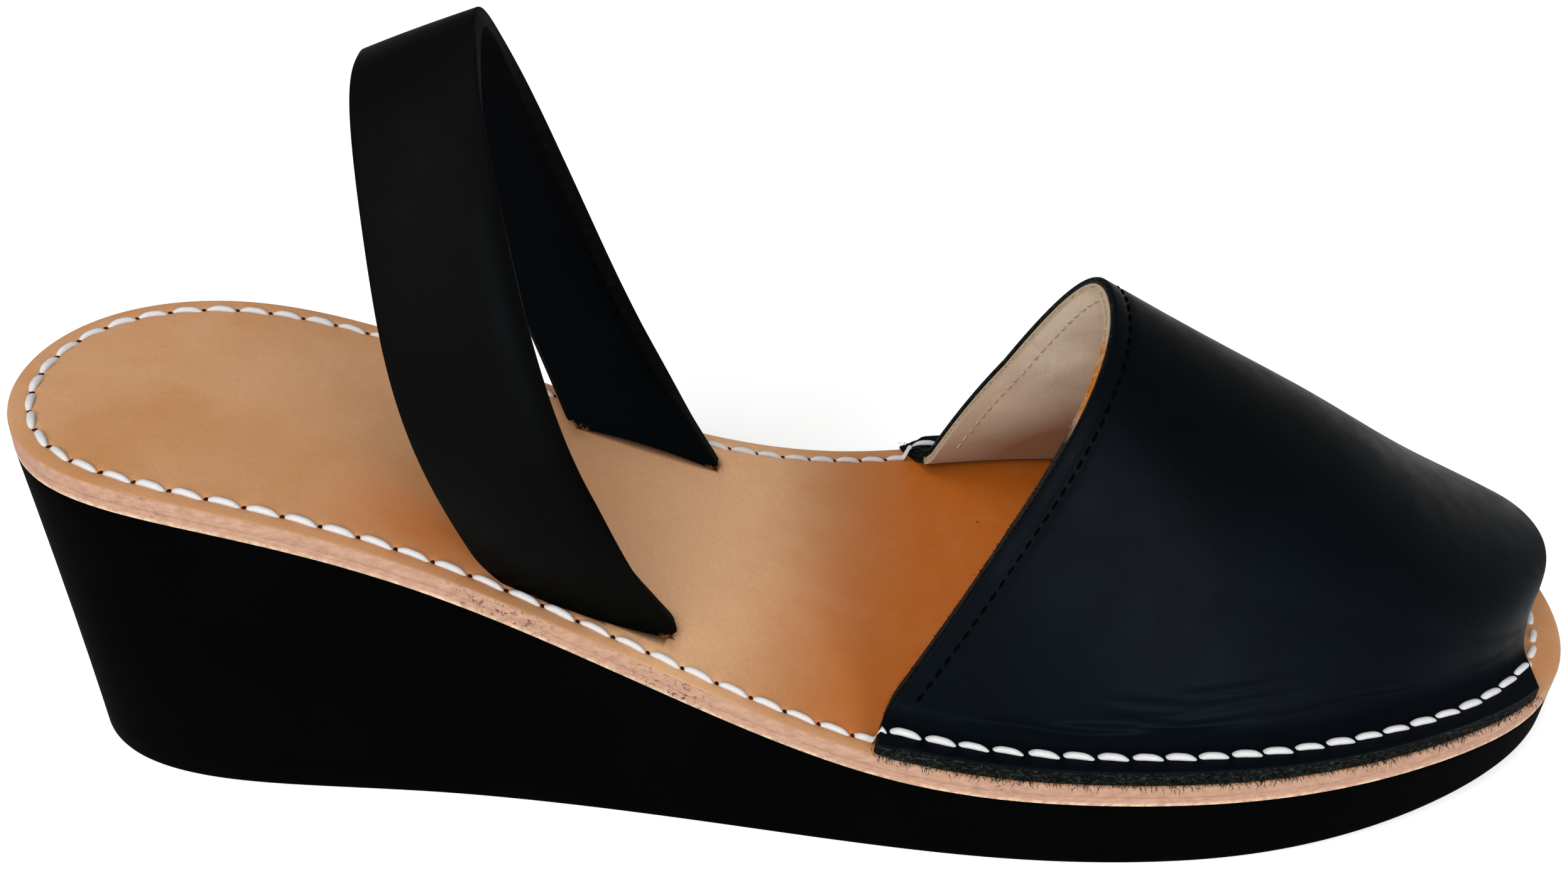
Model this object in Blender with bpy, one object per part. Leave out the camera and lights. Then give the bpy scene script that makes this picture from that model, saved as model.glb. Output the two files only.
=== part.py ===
"""A black wedge avarca: one sandal, standing empty on its sole.

Frame: metres, +Z up, +X towards the toe, +Y towards the inner side of the foot.
The origin is on the floor, under the middle of the insole's length.

A moulded wedge carries two leather layers. The vamp is one hollow piece, open at
the back, at the toe and underneath; its sides turn out into a flange that lies on
the insole for the seam. The heel strap is a loop whose ends stand in two slots.
"""
import math

import bmesh
import bpy
import numpy as np

MM = 0.001

# Overall sizes
SOLE_LENGTH = 250.0 * MM
BALL_WIDTH = 88.6 * MM
HEEL_HEIGHT = 53.8 * MM       # floor to the insole's top, at the back of the heel
FOREFOOT_HEIGHT = 16.0 * MM   # floor to the insole's top, under the ball
PIECE_GAP = 0.3 * MM          # between pieces that lie on each other

# Wedge sole
HEEL_RAKE = math.radians(5.8)     # how far the back wall slants in towards the floor
SIDE_FLARE = math.radians(1.3)    # how far the side walls lean out towards the floor
TOE_SPRING = 6.3 * MM             # lift of the sole's underside at the toe
SPRING_STATION = 0.70             # where the underside leaves the floor
SOLE_EDGE_BEVEL = 0.6 * MM

# Leather layers
INSOLE_THICKNESS = 2.0 * MM
MIDSOLE_THICKNESS = 1.5 * MM

# Vamp
VAMP_THICKNESS = 2.6 * MM
VAMP_HEIGHT = 56.1 * MM       # insole to the crown of the back edge
VAMP_CROWN_Y = 1.9 * MM
VAMP_BULGE = 0.7 * MM
FLANGE_INSET = 0.2 * MM       # from the insole's edge to the flange's edge
FLANGE_WIDTH = 6.2 * MM       # from the insole's edge to the line where the wall turns up
CREASE_LENGTH = 2.8 * MM      # how far the turned crease reaches to each side of that line
CORNER_PULL = 2 / 3           # how near to a corner the handles of a rounded one lie

# Heel strap
STRAP_THICKNESS = 2.5 * MM
STRAP_WIDTH = 17.0 * MM
OUTER_FOOT_WIDTH = 29.5 * MM
INNER_FOOT_WIDTH = 27.6 * MM
STRAP_RISE = 75.7 * MM        # insole at the outer slot to the middle of the crown
STRAP_SPREAD = 26.2 * MM      # from the strap's middle plane to its widest reach
STRAP_SWEEP = 21.8 * MM       # how far the crown lies behind the outer slot
STRAP_CENTRE_Y = -4.0 * MM
STRAP_CUP = 1.6 * MM          # how far the strap's middle stands proud of its edges
OUTER_SLOT_STATION = 0.342
INNER_SLOT_STATION = 0.374
INNER_FOOT_TURN = math.radians(5.0)
SLOT_CUT_HEIGHT = 12.0 * MM

# Outline of the insole: share of the length from the heel, then the reach of the
# outer and the inner side as shares of the ball width
OUTLINE = (
    # station, outer, inner
    (0.03, 0.205, 0.224),
    (0.12, 0.316, 0.318),
    (0.25, 0.353, 0.306),
    (0.41, 0.430, 0.326),
    (0.59, 0.521, 0.447),
    (0.75, 0.518, 0.465),
    (0.88, 0.417, 0.417),
    (0.97, 0.240, 0.305),
)
HEEL_TIP = 0.015              # inner reach of the rearmost point
TOE_TIP = 0.031               # inner reach of the foremost point

# Side profile of the insole's top: 1 at the heel's height, 0 at the forefoot's
PROFILE = (
    # station, rise
    (0.00, 1.000),
    (0.12, 0.950),
    (0.26, 0.696),
    (0.40, 0.307),
    (0.52, 0.056),
    (0.64, 0.005),
    (0.76, 0.000),
    (0.88, -0.005),
    (1.00, -0.037),
)

# Ribs of the vamp from its back edge to its toe edge. The edges and feet of the
# flange and the crown are stations along the sole, the height is a share of the
# vamp's, a lean is what a wall comes in for each unit that it climbs, the
# shoulder is the rounded share of a wall, and the sweep says how much of the way
# from its foot to the crown's station a wall has covered at its shoulder
VAMP_RIBS = (
    # along, outer_edge, outer_foot, inner_edge, inner_foot, crown, height,
    # outer_lean, inner_lean, shoulder, sweep
    (0.00, 0.508, 0.510, 0.563, 0.573, 0.652, 1.000, 0.440, 0.343, 0.50, 1.04),
    (0.25, 0.627, 0.628, 0.665, 0.668, 0.734, 0.794, 0.560, 0.403, 0.50, 0.95),
    (0.50, 0.739, 0.740, 0.762, 0.763, 0.816, 0.600, 0.700, 0.529, 0.50, 0.80),
    (0.75, 0.847, 0.850, 0.855, 0.858, 0.899, 0.387, 0.700, 0.627, 0.48, 0.57),
    (1.00, 0.940, 0.966, 0.938, 0.949, 0.982, 0.226, 0.491, 0.667, 0.62, 0.13),
)

# Sections of the heel strap from a slot up to the crown. The climb is a share of
# the rise, the reach of the spread, the backs of each leg's way from slot to
# crown; the width grows from the strap's to the foot's
STRAP_SECTIONS = (
    # way, climb, reach, outer_back, inner_back, widening, tilt_degrees, cup
    (0.00, 0.000, 0.870, 0.000, 0.000, 1.00, -21.0, 1.00),
    (0.12, 0.190, 0.965, 0.325, 0.255, 0.54, -17.5, 0.90),
    (0.25, 0.384, 0.995, 0.585, 0.483, 0.25, -10.0, 0.80),
    (0.50, 0.713, 0.727, 0.871, 0.781, 0.00, 12.4, 0.60),
    (0.75, 0.941, 0.317, 0.991, 0.963, 0.00, 18.2, 0.34),
    (1.00, 1.000, 0.000, 1.000, 1.000, 0.00, 22.9, 0.05),
)

# Fineness of the faceted surfaces
OUTLINE_STEPS = 60
RIB_COUNT = 26
CREASE_STEPS = 5
WALL_STEPS = 5
SHOULDER_STEPS = 7
STRAP_STEPS = 64
STRAP_COLUMNS = 5


def smooth_curve(knots, values, closed=False):
    """Cubic curve through the values, free at its ends or closed on itself."""
    knots = np.asarray(knots, float)
    values = np.asarray(values, float)
    values = values.reshape(len(knots), -1)
    spans = np.diff(knots)
    slopes = np.diff(values, axis=0) / spans[:, None]
    count = len(knots)
    system = np.zeros((count, count))
    right = np.zeros_like(values)
    for i in range(1, count - 1):
        system[i, i - 1:i + 2] = spans[i - 1], 2 * (spans[i - 1] + spans[i]), spans[i]
        right[i] = 6 * (slopes[i] - slopes[i - 1])
    system[0, 0] = system[-1, -1] = 1
    if closed:
        system[0, -1] = -1
        system[-1, :2] = 2 * spans[0], spans[0]
        system[-1, -2:] = spans[-1], 2 * spans[-1]
        right[-1] = 6 * (slopes[0] - slopes[-1])
    bends = np.linalg.solve(system, right)

    def at(place):
        place = np.atleast_1d(np.asarray(place, float))
        i = np.clip(np.searchsorted(knots, place, side="right") - 1, 0, count - 2)
        span = spans[i][:, None]
        b = (place - knots[i])[:, None] / span
        a = 1 - b
        bent = (a ** 3 - a) * bends[i] + (b ** 3 - b) * bends[i + 1]
        return a * values[i] + b * values[i + 1] + bent * span ** 2 / 6

    return at


def outline_curve():
    """Reach of the outline over the angle: -pi and pi at the toe, 0 at the heel."""
    stations, outer, inner = np.array(OUTLINE).T
    angles = np.arccos(1 - 2 * stations)
    knots = np.concatenate(([-math.pi], -angles[::-1], [0], angles, [math.pi]))
    reach = np.concatenate(([TOE_TIP], -outer[::-1], [HEEL_TIP], inner, [TOE_TIP]))
    return smooth_curve(knots, reach, closed=True)


OUTLINE_REACH = outline_curve()
PROFILE_RISE = smooth_curve(*np.array(PROFILE).T)


def station_x(station):
    """Place along the shoe of a share of the sole's length."""
    return (np.asarray(station) - 0.5) * SOLE_LENGTH


def insole_top(x):
    """Height of the insole's top face at a place along the shoe."""
    rise = PROFILE_RISE(np.asarray(x) / SOLE_LENGTH + 0.5)[:, 0]
    return FOREFOOT_HEIGHT + (HEEL_HEIGHT - FOREFOOT_HEIGHT) * rise


def outline_points(angles, inset=0.0):
    """Plan points of the outline, moved inwards by the inset, and outward normals."""
    def plan(turn):
        x = station_x((1 - np.cos(turn)) / 2)
        return np.column_stack((x, BALL_WIDTH * OUTLINE_REACH(turn)[:, 0]))

    step = 1e-4
    along = plan(angles + step) - plan(angles - step)
    along[np.abs(angles) > math.pi - step] = (0.0, -1.0)
    along = unit(along)
    normals = np.column_stack((-along[:, 1], along[:, 0]))
    return plan(angles) - inset * normals, normals


def side_angle(station, side):
    """Outline angle of a station on the outer (-1) or the inner (+1) side."""
    return side * np.arccos(1 - 2 * np.asarray(station))


def add_object(name, vertices, faces, material):
    """Make a mesh object from its vertices and faces, with its faces pointing out."""
    mesh = bpy.data.meshes.new(name)
    mesh.from_pydata([tuple(v) for v in vertices], [], faces)
    work = bmesh.new()
    work.from_mesh(mesh)
    bmesh.ops.recalc_face_normals(work, faces=work.faces)
    work.to_mesh(mesh)
    work.free()
    mesh.shade_smooth()
    mesh.set_sharp_from_angle(angle=math.radians(40))
    part = bpy.data.objects.new(name, mesh)
    bpy.context.collection.objects.link(part)
    if material:
        mesh.materials.append(material)
    return part


def add_material(name, colour, roughness, metallic=0.0):
    """Plain Principled material with the piece's own colour."""
    material = bpy.data.materials.new(name)
    material.use_nodes = True
    shader = material.node_tree.nodes["Principled BSDF"]
    shader.inputs["Base Color"].default_value = (*colour, 1.0)
    shader.inputs["Roughness"].default_value = roughness
    shader.inputs["Metallic"].default_value = metallic
    return material


def add_slab(name, rings, material):
    """Closed slab from rings of the outline, listed from the top to the bottom.

    A ring starts at the toe, runs down the outer side to the heel and comes back
    up the inner side, so its points pair off across the shoe.
    """
    count = len(rings[0])
    half = count // 2
    faces = []
    for ring in range(len(rings) - 1):
        for i in range(count):
            a = ring * count + i
            b = ring * count + (i + 1) % count
            faces.append((a, b, b + count, a + count))
    for base in (0, (len(rings) - 1) * count):
        for i in range(half):
            across = (i, i + 1, (count - i - 1) % count, (count - i) % count)
            faces.append(tuple(base + k for k in dict.fromkeys(across)))
    return add_object(name, np.vstack(rings), faces, material)


def ring_angles():
    """Angles of a ring's points, paired across the shoe."""
    return np.linspace(-math.pi, math.pi, 2 * OUTLINE_STEPS, endpoint=False)


def add_layer(name, depth, thickness, material):
    """Leather layer whose top lies a given depth under the insole's top face."""
    plan, _ = outline_points(ring_angles())
    top = insole_top(plan[:, 0]) - depth
    rings = [np.column_stack((plan, top)), np.column_stack((plan, top - thickness))]
    return add_slab(name, rings, material)


def sole_underside(x):
    """Height of the sole's underside: flat on the floor, lifted towards the toe."""
    start = station_x(SPRING_STATION)
    share = np.clip((x - start) / (station_x(1.0) - start), 0, 1)
    return TOE_SPRING * share ** 2


def add_wedge_sole(material):
    """Moulded wedge under the leather layers, with a raked heel and a toe spring."""
    plan, normals = outline_points(ring_angles())
    depth = INSOLE_THICKNESS + MIDSOLE_THICKNESS + 2 * PIECE_GAP
    top = insole_top(plan[:, 0]) - depth
    bottom = sole_underside(plan[:, 0])
    backward = np.clip(-normals[:, 0], 0, 1) ** 2
    sideways = normals[:, 1] ** 2
    slant = math.tan(HEEL_RAKE) * backward - math.tan(SIDE_FLARE) * sideways

    def ring(height, inset):
        moved = slant * (top - height) + inset
        return np.column_stack((plan - normals * moved[:, None], height))

    rings = [ring(top, 0.0), ring(bottom + SOLE_EDGE_BEVEL, 0.0), ring(bottom, SOLE_EDGE_BEVEL)]
    return add_slab("wedge_sole", rings, material)


def rounded_corner(before, corner, after, steps):
    """Curve that leaves one point and reaches the other, steered by the corner."""
    t = np.linspace(0, 1, steps + 1)[:, None]
    return (1 - t) ** 2 * before + 2 * t * (1 - t) * corner + t ** 2 * after


def rounded_shoulder(start, shoulder, crown, steps):
    """Curve from a wall over its shoulder to the crown, where it runs square across."""
    square = np.array([crown[0], shoulder[1], crown[2]])
    t = np.linspace(0, 1, steps + 1)[:, None]
    first = start + CORNER_PULL * (shoulder - start)
    second = crown + CORNER_PULL * (square - crown)
    ends = (1 - t) ** 3 * start + t ** 3 * crown
    return ends + 3 * t * (1 - t) * ((1 - t) * first + t * second)


def rib_side(rib, side):
    """One half of a rib's outer face, from the flange's edge up to the crown."""
    name = "outer" if side < 0 else "inner"
    lean = rib[name + "_lean"]
    lift = PIECE_GAP + VAMP_THICKNESS
    edge_angle = np.array([side_angle(rib[name + "_edge"], side)])
    turn_angle = np.array([side_angle(rib[name + "_foot"], side)])
    edge_plan, _ = outline_points(edge_angle, FLANGE_INSET)
    turn_plan, _ = outline_points(turn_angle, FLANGE_WIDTH)
    edge = np.append(edge_plan[0], insole_top(edge_plan[:, 0]) + lift)
    turn = np.append(turn_plan[0], insole_top(turn_plan[:, 0]) + lift)

    crown_x = station_x(rib["crown"])
    crown_z = insole_top(np.array([crown_x]))[0] + VAMP_HEIGHT * rib["height"]
    crown = np.array([crown_x, VAMP_CROWN_Y, crown_z])
    climb = crown_z - turn[2]
    shoulder_x = turn[0] + (crown_x - turn[0]) * rib["sweep"]
    shoulder = np.array([shoulder_x, turn[1] - side * lean * climb, crown_z])

    wall = shoulder - turn
    upward = unit(wall)
    flat = unit(turn - edge)
    crease_in = turn - CREASE_LENGTH * flat
    crease_out = turn + CREASE_LENGTH * upward
    rounding = shoulder - rib["shoulder"] * wall
    t = np.linspace(0, 1, WALL_STEPS + 1)[1:-1, None]
    outward = side * unit(np.cross(upward, (1.0, 0.0, 0.0)))
    straight = crease_out + t * (rounding - crease_out)
    straight = straight + outward * VAMP_BULGE * rib["height"] * 4 * t * (1 - t)
    return np.vstack((
        edge,
        rounded_corner(crease_in, turn, crease_out, CREASE_STEPS),
        straight,
        rounded_shoulder(rounding, shoulder, crown, SHOULDER_STEPS),
    ))


def vamp_outer_face():
    """Grid of the vamp's outer face: ribs from back to toe, points across each."""
    names = ("outer_edge", "outer_foot", "inner_edge", "inner_foot", "crown", "height",
             "outer_lean", "inner_lean", "shoulder", "sweep")
    table = np.array(VAMP_RIBS)
    ribs = smooth_curve(table[:, 0], table[:, 1:])(np.linspace(0, 1, RIB_COUNT))
    grid = []
    for row in ribs:
        rib = dict(zip(names, row))
        outer = rib_side(rib, -1)
        inner = rib_side(rib, 1)
        grid.append(np.vstack((outer, inner[-2::-1])))
    return np.array(grid)


def unit(vectors):
    """Vectors of an array, each made one unit long."""
    return vectors / np.linalg.norm(vectors, axis=-1, keepdims=True)


def grid_normals(grid):
    """Unit normals at a grid's points, averaged from the cells that meet there."""
    first = grid[1:, 1:] - grid[:-1, :-1]
    second = grid[:-1, 1:] - grid[1:, :-1]
    cells = unit(np.cross(first, second))
    normals = np.zeros_like(grid)
    normals[:-1, :-1] += cells
    normals[1:, :-1] += cells
    normals[:-1, 1:] += cells
    normals[1:, 1:] += cells
    return unit(normals)


def add_sheet(name, face, back, material):
    """Closed sheet between two grids of points, joined along all four edges."""
    rows, columns, _ = face.shape
    count = rows * columns

    def index(row, column, layer):
        return layer * count + row * columns + column

    faces = []
    for row in range(rows - 1):
        for column in range(columns - 1):
            for layer in (0, 1):
                faces.append((index(row, column, layer), index(row, column + 1, layer),
                              index(row + 1, column + 1, layer), index(row + 1, column, layer)))
    for row in range(rows - 1):
        for column in (0, columns - 1):
            faces.append((index(row, column, 0), index(row + 1, column, 0),
                          index(row + 1, column, 1), index(row, column, 1)))
    for column in range(columns - 1):
        for row in (0, rows - 1):
            faces.append((index(row, column, 0), index(row, column + 1, 0),
                          index(row, column + 1, 1), index(row, column, 1)))
    points = np.vstack((face.reshape(-1, 3), back.reshape(-1, 3)))
    return add_object(name, points, faces, material)


def add_vamp(material):
    """Hollow vamp with its real wall, open at the back, the toe and underneath."""
    outer = vamp_outer_face()
    normals = grid_normals(outer)
    inward = -1.0 if normals[0, outer.shape[1] // 2, 2] > 0 else 1.0
    inner = outer + inward * VAMP_THICKNESS * normals
    flange_edge = (0, outer.shape[1] - 1)
    for column in flange_edge:
        inner[:, column, :2] = outer[:, column, :2]
        inner[:, column, 2] = insole_top(outer[:, column, 0]) + PIECE_GAP
    return add_sheet("vamp", outer, inner, material)


def strap_leg(side):
    """Sections of one leg: place, width, tilt, turn and cup, from slot to crown."""
    way, climb, reach, outer_back, inner_back, widening, tilt, cup = np.array(STRAP_SECTIONS).T
    outer_x = station_x(OUTER_SLOT_STATION)
    crown_x = outer_x - STRAP_SWEEP
    crown_z = insole_top(np.array([outer_x]))[0] + STRAP_RISE
    if side < 0:
        foot_x, foot_width, back = outer_x, OUTER_FOOT_WIDTH, outer_back
        turn = np.zeros(len(way))
    else:
        foot_x, foot_width, back = station_x(INNER_SLOT_STATION), INNER_FOOT_WIDTH, inner_back
        turn = INNER_FOOT_TURN * widening
    foot_z = insole_top(np.array([foot_x]))[0]
    x = foot_x + (crown_x - foot_x) * back
    y = STRAP_CENTRE_Y + side * STRAP_SPREAD * reach
    z = foot_z + (crown_z - foot_z) * climb
    width = STRAP_WIDTH + (foot_width - STRAP_WIDTH) * widening
    columns = (x, y, z, width, np.radians(tilt), turn, STRAP_CUP * cup)
    return side * (1 - way), np.column_stack(columns)


def strap_middle_face():
    """Grid of the strap's middle face from the outer slot over to the inner one."""
    outer_way, outer_rows = strap_leg(-1)
    inner_way, inner_rows = strap_leg(1)
    ways = np.concatenate((outer_way, inner_way[-2::-1]))
    rows = np.vstack((outer_rows, inner_rows[-2::-1]))
    sections = smooth_curve(ways, rows)(np.linspace(-1, 1, STRAP_STEPS + 1))
    across = np.linspace(-0.5, 0.5, STRAP_COLUMNS)
    centre = np.array([0.0, STRAP_CENTRE_Y, 0.0])
    path = sections[:, :3]
    forward = np.gradient(path, axis=0)
    grid = []
    for row, heading in zip(sections, forward):
        place, width, tilt, turn, cup = row[:3], row[3], row[4], row[5], row[6]
        level = np.array([math.cos(turn), math.sin(turn), 0.0]) * math.cos(tilt)
        side = level + np.array([0.0, 0.0, math.sin(tilt)])
        proud = unit(np.cross(heading, side))
        if np.dot(proud, place - centre) < 0:
            proud = -proud
        crown = cup * (1 - (2 * across) ** 2)
        grid.append(place + np.outer(across * width, side) + np.outer(crown, proud))
    return np.array(grid)


def foot_row(row, height):
    """Row of strap points moved straight down to a height over the insole's top."""
    moved = row.copy()
    moved[:, 2] = insole_top(row[:, 0]) + height
    return moved


def add_heel_strap(grid, material):
    """Closed strap loop whose ends stand in the slots, on the midsole."""
    feet = [(foot_row(row, 0.0), foot_row(row, -INSOLE_THICKNESS)) for row in grid[[0, -1]]]
    first, last = feet
    middle = np.concatenate(([first[1], first[0]], grid[1:-1], [last[0], last[1]]))
    normals = grid_normals(middle)
    for foot, rows in ((first[0], (0, 1)), (last[0], (-1, -2))):
        level = foot_normals(foot)
        level *= np.sign(np.sum(level * normals[rows[1]]))
        for row in rows:
            normals[row] = level
    half = STRAP_THICKNESS / 2
    return add_sheet("heel_strap", middle + half * normals, middle - half * normals, material)


def foot_normals(row):
    """Level normals of a row of strap points."""
    along = np.gradient(row, axis=0)
    return unit(np.column_stack((-along[:, 1], along[:, 0], np.zeros(len(row)))))


def add_slot_cutter(name, row):
    """Upright cutter round a strap's foot, wider than it by the gap all round."""
    along = unit(np.gradient(row, axis=0) * (1.0, 1.0, 0.0))
    longer = row.copy()
    longer[0] -= PIECE_GAP * along[0]
    longer[-1] += PIECE_GAP * along[-1]
    half = STRAP_THICKNESS / 2 + PIECE_GAP
    layers = []
    for height in (SLOT_CUT_HEIGHT / 2, -SLOT_CUT_HEIGHT / 2):
        level = foot_row(longer, height)
        layers.append((level + half * foot_normals(level), level - half * foot_normals(level)))
    face = np.array([layers[0][0], layers[1][0]])
    back = np.array([layers[0][1], layers[1][1]])
    cutter = add_sheet(name, face, back, None)
    cutter.hide_render = True
    cutter.display_type = "WIRE"
    return cutter


def cut_slots(insole, grid):
    """Cut the strap's two slots through the insole."""
    for name, row in (("outer_slot_cutter", grid[0]), ("inner_slot_cutter", grid[-1])):
        cut = insole.modifiers.new(name, "BOOLEAN")
        cut.operation = "DIFFERENCE"
        cut.solver = "EXACT"
        cut.object = add_slot_cutter(name, row)


def main():
    """Build the sandal's pieces."""
    for old in list(bpy.data.objects):
        bpy.data.objects.remove(old, do_unlink=True)
    foam = add_material("wedge_foam_rubber", (0.010, 0.010, 0.011), 0.75)
    sole_leather = add_material("midsole_leather", (0.55, 0.33, 0.20), 0.75)
    tan_leather = add_material("insole_leather", (0.60, 0.30, 0.14), 0.55)
    black_leather = add_material("black_leather", (0.010, 0.011, 0.014), 0.42)
    add_wedge_sole(foam)
    midsole_depth = INSOLE_THICKNESS + PIECE_GAP
    add_layer("leather_midsole", midsole_depth, MIDSOLE_THICKNESS, sole_leather)
    insole = add_layer("leather_insole", 0.0, INSOLE_THICKNESS, tan_leather)
    add_vamp(black_leather)
    strap = strap_middle_face()
    add_heel_strap(strap, black_leather)
    cut_slots(insole, strap)


main()
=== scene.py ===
"""Looks of a black wedge avarca: finishes, seam, lining, creases and studio.

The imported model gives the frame. Each sub-assembly below is a class that keeps its
sizes as fields, builds its meshes and dresses them. Lengths are metres, and the
tables hold shares of the named sizes, as a last maker would note them.
"""
import logging
import math
from dataclasses import dataclass
from enum import Enum
from typing import Callable, Iterable, Sequence

import bmesh
import bpy
import numpy as np
from mathutils import Matrix, Vector


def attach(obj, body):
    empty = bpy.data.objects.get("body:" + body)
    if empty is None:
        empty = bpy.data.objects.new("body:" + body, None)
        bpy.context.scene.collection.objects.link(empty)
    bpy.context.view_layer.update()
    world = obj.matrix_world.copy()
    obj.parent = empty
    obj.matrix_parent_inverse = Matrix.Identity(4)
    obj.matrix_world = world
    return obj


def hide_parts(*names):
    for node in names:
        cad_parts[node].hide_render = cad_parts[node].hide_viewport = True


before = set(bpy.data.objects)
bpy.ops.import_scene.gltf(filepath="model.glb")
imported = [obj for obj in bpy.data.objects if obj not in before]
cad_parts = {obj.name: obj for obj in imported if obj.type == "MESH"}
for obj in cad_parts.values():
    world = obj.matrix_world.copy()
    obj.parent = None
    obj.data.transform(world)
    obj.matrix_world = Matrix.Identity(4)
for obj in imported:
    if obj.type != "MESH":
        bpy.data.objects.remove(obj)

LOG = logging.getLogger("avarca")
MM = 0.001
BODY = "root"
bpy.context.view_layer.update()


class Side(Enum):
    """The two sides of the foot, as signs of Y."""

    OUTER = -1
    INNER = 1


# Curves and small mathematics

class SmoothCurve:
    """Cubic curve through rows of values, free at its ends or closed on itself."""

    def __init__(self, knots: Sequence[float], values: Sequence, closed: bool = False) -> None:
        """Solve for the curve's bends.

        Args:
            knots: Rising places of the rows.
            values: One number or one row of numbers for each knot.
            closed: Whether the last row meets the first one smoothly.
        """
        self.knots = np.asarray(knots, float)
        self.values = np.asarray(values, float).reshape(len(self.knots), -1)
        spans = np.diff(self.knots)
        slopes = np.diff(self.values, axis=0) / spans[:, None]
        count = len(self.knots)
        system = np.zeros((count, count))
        right = np.zeros_like(self.values)
        for i in range(1, count - 1):
            system[i, i - 1:i + 2] = spans[i - 1], 2 * (spans[i - 1] + spans[i]), spans[i]
            right[i] = 6 * (slopes[i] - slopes[i - 1])
        system[0, 0] = system[-1, -1] = 1
        if closed:
            system[0, -1] = -1
            system[-1, :2] = 2 * spans[0], spans[0]
            system[-1, -2:] = spans[-1], 2 * spans[-1]
            right[-1] = 6 * (slopes[0] - slopes[-1])
        self.bends = np.linalg.solve(system, right)
        self.spans = spans

    def __call__(self, place: np.ndarray) -> np.ndarray:
        """Give the rows of values at some places.

        Args:
            place: Places along the curve.

        Returns:
            One row of values for each place.
        """
        place = np.atleast_1d(np.asarray(place, float))
        last = len(self.knots) - 2
        i = np.clip(np.searchsorted(self.knots, place, side="right") - 1, 0, last)
        span = self.spans[i][:, None]
        b = (place - self.knots[i])[:, None] / span
        a = 1 - b
        bent = (a ** 3 - a) * self.bends[i] + (b ** 3 - b) * self.bends[i + 1]
        return a * self.values[i] + b * self.values[i + 1] + bent * span ** 2 / 6


def unit(vectors: np.ndarray) -> np.ndarray:
    """Make each vector of an array one unit long."""
    return vectors / np.linalg.norm(vectors, axis=-1, keepdims=True)


def smooth_step(value: np.ndarray, low: float, high: float) -> np.ndarray:
    """Rise softly from 0 at the low value to 1 at the high one."""
    share = np.clip((np.asarray(value, float) - low) / (high - low), 0, 1)
    return share * share * (3 - 2 * share)


def hump(distance: np.ndarray, width: float) -> np.ndarray:
    """Soft bell of height 1 over a distance, about as wide as given."""
    return np.exp(-(np.asarray(distance) / width) ** 2)


def grid_normals(grid: np.ndarray) -> np.ndarray:
    """Average the cells' normals at a grid's points.

    Args:
        grid: Points of shape (rows, columns, 3).

    Returns:
        Unit normals of the same shape.
    """
    first = grid[1:, 1:] - grid[:-1, :-1]
    second = grid[:-1, 1:] - grid[1:, :-1]
    cross = np.cross(first, second)
    cells = cross / np.maximum(np.linalg.norm(cross, axis=-1, keepdims=True), 1e-15)
    normals = np.zeros_like(grid)
    normals[:-1, :-1] += cells
    normals[1:, :-1] += cells
    normals[:-1, 1:] += cells
    normals[1:, 1:] += cells
    return unit(normals)


# Meshes

def placed_grid(points: np.ndarray) -> bmesh.types.BMesh:
    """Lay a grid of faces over a grid of points.

    Args:
        points: Points of shape (rows, columns, 3).

    Returns:
        A bmesh whose int layer "spot" numbers its points row by row.
    """
    rows, columns, _ = points.shape
    work = bmesh.new()
    bmesh.ops.create_grid(work, x_segments=columns - 1, y_segments=rows - 1, size=1.0)
    spot = work.verts.layers.int.new("spot")
    flat = points.reshape(-1, 3)
    for number, vert in enumerate(work.verts):
        vert[spot] = number
        vert.co = flat[number]
    return work


def closed_sheet(face: np.ndarray, back: np.ndarray) -> bmesh.types.BMesh:
    """Extrude a grid of faces to a second grid of points, as a closed sheet.

    Args:
        face: Points of the sheet's face, of shape (rows, columns, 3).
        back: Points of its back, in the same order.

    Returns:
        A closed bmesh. Its face's polygons have material 0, its back's 1, its rim's 2.
    """
    work = placed_grid(face)
    spot = work.verts.layers.int["spot"]
    front = set(work.faces)
    made = bmesh.ops.extrude_face_region(work, geom=list(work.faces), use_keep_orig=True)
    flat = back.reshape(-1, 3)
    for item in made["geom"]:
        if isinstance(item, bmesh.types.BMVert):
            item.co = flat[item[spot]]
    far = {item for item in made["geom"] if isinstance(item, bmesh.types.BMFace)}
    for polygon in work.faces:
        polygon.material_index = 0 if polygon in front else 1 if polygon in far else 2
    bmesh.ops.recalc_face_normals(work, faces=work.faces)
    return work


def soften_rim(work: bmesh.types.BMesh, width: float, material: int = -1) -> None:
    """Round the edges where a sheet's rim meets its face and its back.

    Args:
        work: The sheet.
        width: How wide the rounding is.
        material: Number of the rounding's material, or -1 for the neighbours' own.
    """
    corners = [edge for edge in work.edges
               if len({polygon.material_index for polygon in edge.link_faces}) > 1]
    bmesh.ops.bevel(work, geom=corners, offset=width, offset_type="OFFSET", segments=2,
                    profile=0.5, affect="EDGES", material=material, clamp_overlap=True)


def closed_rings(rings: Sequence[np.ndarray]) -> bmesh.types.BMesh:
    """Skin rings of points into a closed body.

    Args:
        rings: Rings of equally many points. The first and the last one are folded
            flat onto a line, so that their points weld in pairs.

    Returns:
        The closed bmesh, with its faces pointing out.
    """
    points = np.array(rings)
    points = np.concatenate((points, points[:, :1]), axis=1)
    work = placed_grid(points)
    bmesh.ops.remove_doubles(work, verts=work.verts, dist=1e-7)
    bmesh.ops.recalc_face_normals(work, faces=work.faces)
    return work


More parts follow.
